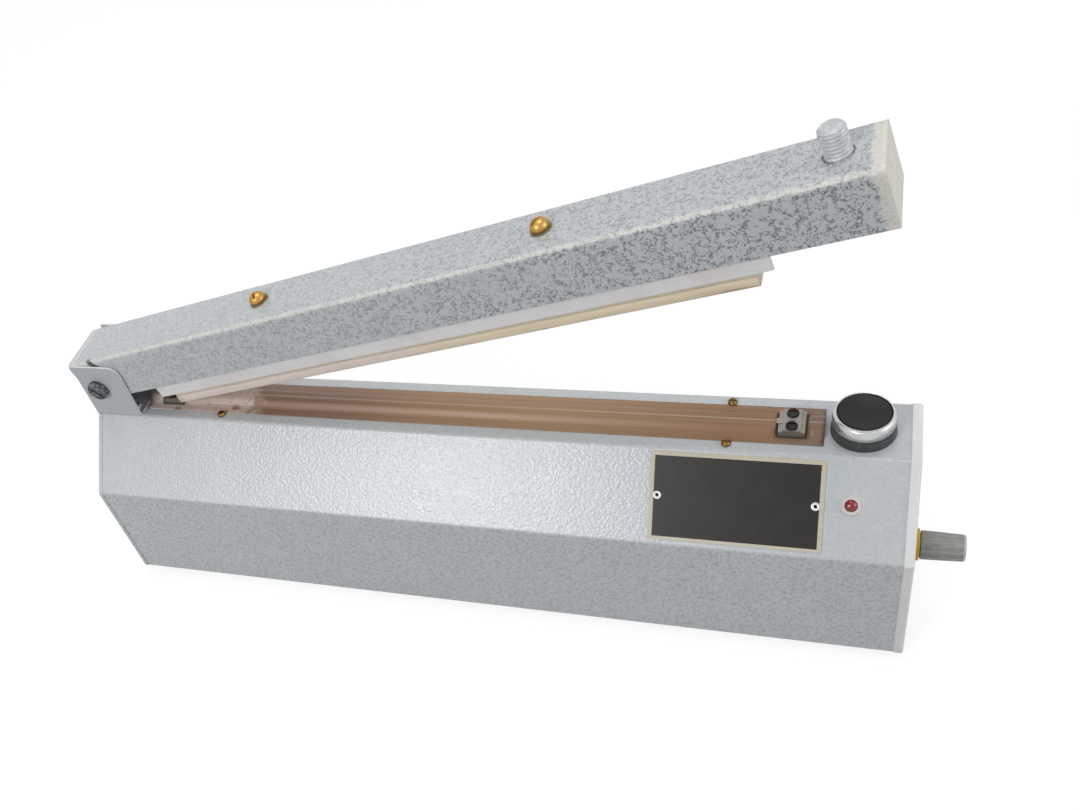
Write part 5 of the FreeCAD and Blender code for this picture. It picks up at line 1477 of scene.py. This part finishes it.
class SEALER_OT_stage(bpy.types.Operator):
    """Sets the camera, the pale floor, the lamps and the room's light"""

    bl_idname = "sealer.stage"
    bl_label = "Stage"

    def execute(self, context):
        self.camera(context)
        self.floor(context)
        stage = context.scene.sealer_stage
        aim = self.aim(context)
        self.lamp("key_lamp", aim, Vector((-0.05, 0.15, 0.98)), 2.6, 1.4, stage.key)
        self.lamp("front_lamp", aim, Vector((-0.3, -0.76, 0.56)), 1.6, 0.5, stage.sheen)
        self.lamp("side_lamp", aim, Vector((0.92, -0.08, 0.38)), 2.2, 1.4, stage.side)
        self.room(context)
        context.scene.view_settings.view_transform = "Standard"
        return {"FINISHED"}

    @staticmethod
    def aim(context):
        """The point that the camera looks at."""
        stage = context.scene.sealer_stage
        low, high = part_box("base_shell")
        return Vector(((low.x + high.x) / 2 - stage.aim_left, 0, stage.aim_height))

    def camera(self, context):
        """Sets the camera up, turned a little about its own line of sight."""
        stage = context.scene.sealer_stage
        azimuth, elevation = stage.azimuth, stage.elevation
        flat = math.cos(elevation)
        back = Vector((math.sin(azimuth) * flat, -math.cos(azimuth) * flat, math.sin(elevation)))
        right = Vector((0, 0, 1)).cross(back).normalized()
        up = back.cross(right)
        cos, sin = math.cos(stage.roll), math.sin(stage.roll)
        rolled_right = right * cos - up * sin
        rolled_up = right * sin + up * cos
        axes = Matrix((rolled_right, rolled_up, back)).transposed().to_4x4()
        data = bpy.data.cameras.new("bench_camera")
        data.lens = stage.lens
        data.sensor_width = 36
        data.shift_x, data.shift_y = stage.shift_x, stage.shift_y
        camera = bpy.data.objects.new("bench_camera", data)
        camera.matrix_world = Matrix.Translation(self.aim(context) + back * stage.distance) @ axes
        context.scene.collection.objects.link(camera)
        context.scene.camera = camera

    def floor(self, context):
        """A pale bench top that the camera sees whiter than the light leaves it."""
        hands_off()
        bpy.ops.mesh.primitive_plane_add(size=8)
        floor = context.object
        floor.name = floor.data.name = "bench_top"
        stage = context.scene.sealer_stage
        look = Look("bench_top", (stage.floor,) * 3, 0.9)
        path = look.node("LightPath").socket.node.outputs
        seen = Wire(look, path["Is Camera Ray"])
        seen = seen.most(Wire(look, path["Is Glossy Ray"])).most(Wire(look, path["Is Transmission Ray"]))
        look.set("Specular IOR Level", 0.0)
        glow = look.node("Emission", None, {"Color": (1, 1, 1), "Strength": seen * stage.glow})
        total = look.node("AddShader", None, {0: Wire(look, look.shader.outputs[0]), 1: glow})
        output = next(node for node in look.tree.nodes if node.type == "OUTPUT_MATERIAL")
        look.fill(output.inputs[0], total)
        floor.data.materials.append(look.material)

    @staticmethod
    def lamp(name, aim, direction, distance, size, share):
        """An area lamp that gives a share of the light at which white renders white."""
        data = bpy.data.lights.new(name, "AREA")
        data.shape = "DISK"
        data.size = size
        data.energy = share * math.pi**2 * distance**2
        lamp = bpy.data.objects.new(name, data)
        direction = direction.normalized()
        lamp.location = aim + direction * distance
        lamp.rotation_mode = "QUATERNION"
        lamp.rotation_quaternion = direction.to_track_quat("Z", "Y")
        bpy.context.scene.collection.objects.link(lamp)

    @staticmethod
    def room(context):
        """An even light all round, which the camera and bright metal see as white."""
        world = bpy.data.worlds.new("room")
        world.use_nodes = True
        tree = world.node_tree
        tree.nodes.clear()
        path = tree.nodes.new("ShaderNodeLightPath")
        seen = path.outputs["Is Camera Ray"]
        for name in ("Is Glossy Ray", "Is Transmission Ray"):
            either = tree.nodes.new("ShaderNodeMath")
            either.operation = "MAXIMUM"
            tree.links.new(seen, either.inputs[0])
            tree.links.new(path.outputs[name], either.inputs[1])
            seen = either.outputs[0]
        mixed = tree.nodes.new("ShaderNodeMixShader")
        tree.links.new(seen, mixed.inputs[0])
        for socket, strength in ((1, context.scene.sealer_stage.sky), (2, 1)):
            light = tree.nodes.new("ShaderNodeBackground")
            light.inputs["Color"].default_value = (1, 1, 1, 1)
            light.inputs["Strength"].default_value = strength
            tree.links.new(light.outputs[0], mixed.inputs[socket])
        output = tree.nodes.new("ShaderNodeOutputWorld")
        tree.links.new(mixed.outputs[0], output.inputs[0])
        context.scene.world = world


OPERATORS = (
    SEALER_OT_stage,
    SEALER_OT_paintwork,
    SEALER_OT_bare_metal,
    SEALER_OT_moulded,
    SEALER_OT_nameplate,
    SEALER_OT_release_cloth,
    SEALER_OT_strip_wrap,
    SEALER_OT_adjusting_stud,
    SEALER_OT_guide_screws,
    SEALER_OT_push_button,
    SEALER_OT_timer_knob,
    SEALER_OT_hinge_pin,
    SEALER_OT_signal_lamp,
)


class SEALER_PT_pieces(bpy.types.Panel):
    """The sealer's pieces, in the order they are made"""

    bl_idname = "SEALER_PT_pieces"
    bl_label = "Heat sealer"
    bl_space_type = "VIEW_3D"
    bl_region_type = "UI"
    bl_category = "Sealer"

    def draw(self, context):
        for group in (context.scene.sealer_sizes, context.scene.sealer_colours):
            column = self.layout.column()
            for name in group.bl_rna.properties.keys():
                if name not in {"rna_type", "name"}:
                    column.prop(group, name)
        for operator in OPERATORS:
            self.layout.operator(operator.bl_idname)


GROUPS = {"sealer_sizes": SealerSizes, "sealer_colours": SealerColours, "sealer_stage": StageView}


def register():
    """Adds the sizes, the operators and the panel to Blender."""
    for item in (*GROUPS.values(), *OPERATORS, SEALER_PT_pieces):
        bpy.utils.register_class(item)
    for name, group in GROUPS.items():
        setattr(bpy.types.Scene, name, PointerProperty(type=group))


def unregister():
    """Takes them out again."""
    for name in GROUPS:
        delattr(bpy.types.Scene, name)
    for item in (SEALER_PT_pieces, *reversed(OPERATORS), *GROUPS.values()):
        bpy.utils.unregister_class(item)


def main():
    """Makes every piece in order."""
    register()
    for operator in OPERATORS:
        family, name = operator.bl_idname.split(".")
        getattr(getattr(bpy.ops, family), name)()


if __name__ == "__main__":
    main()
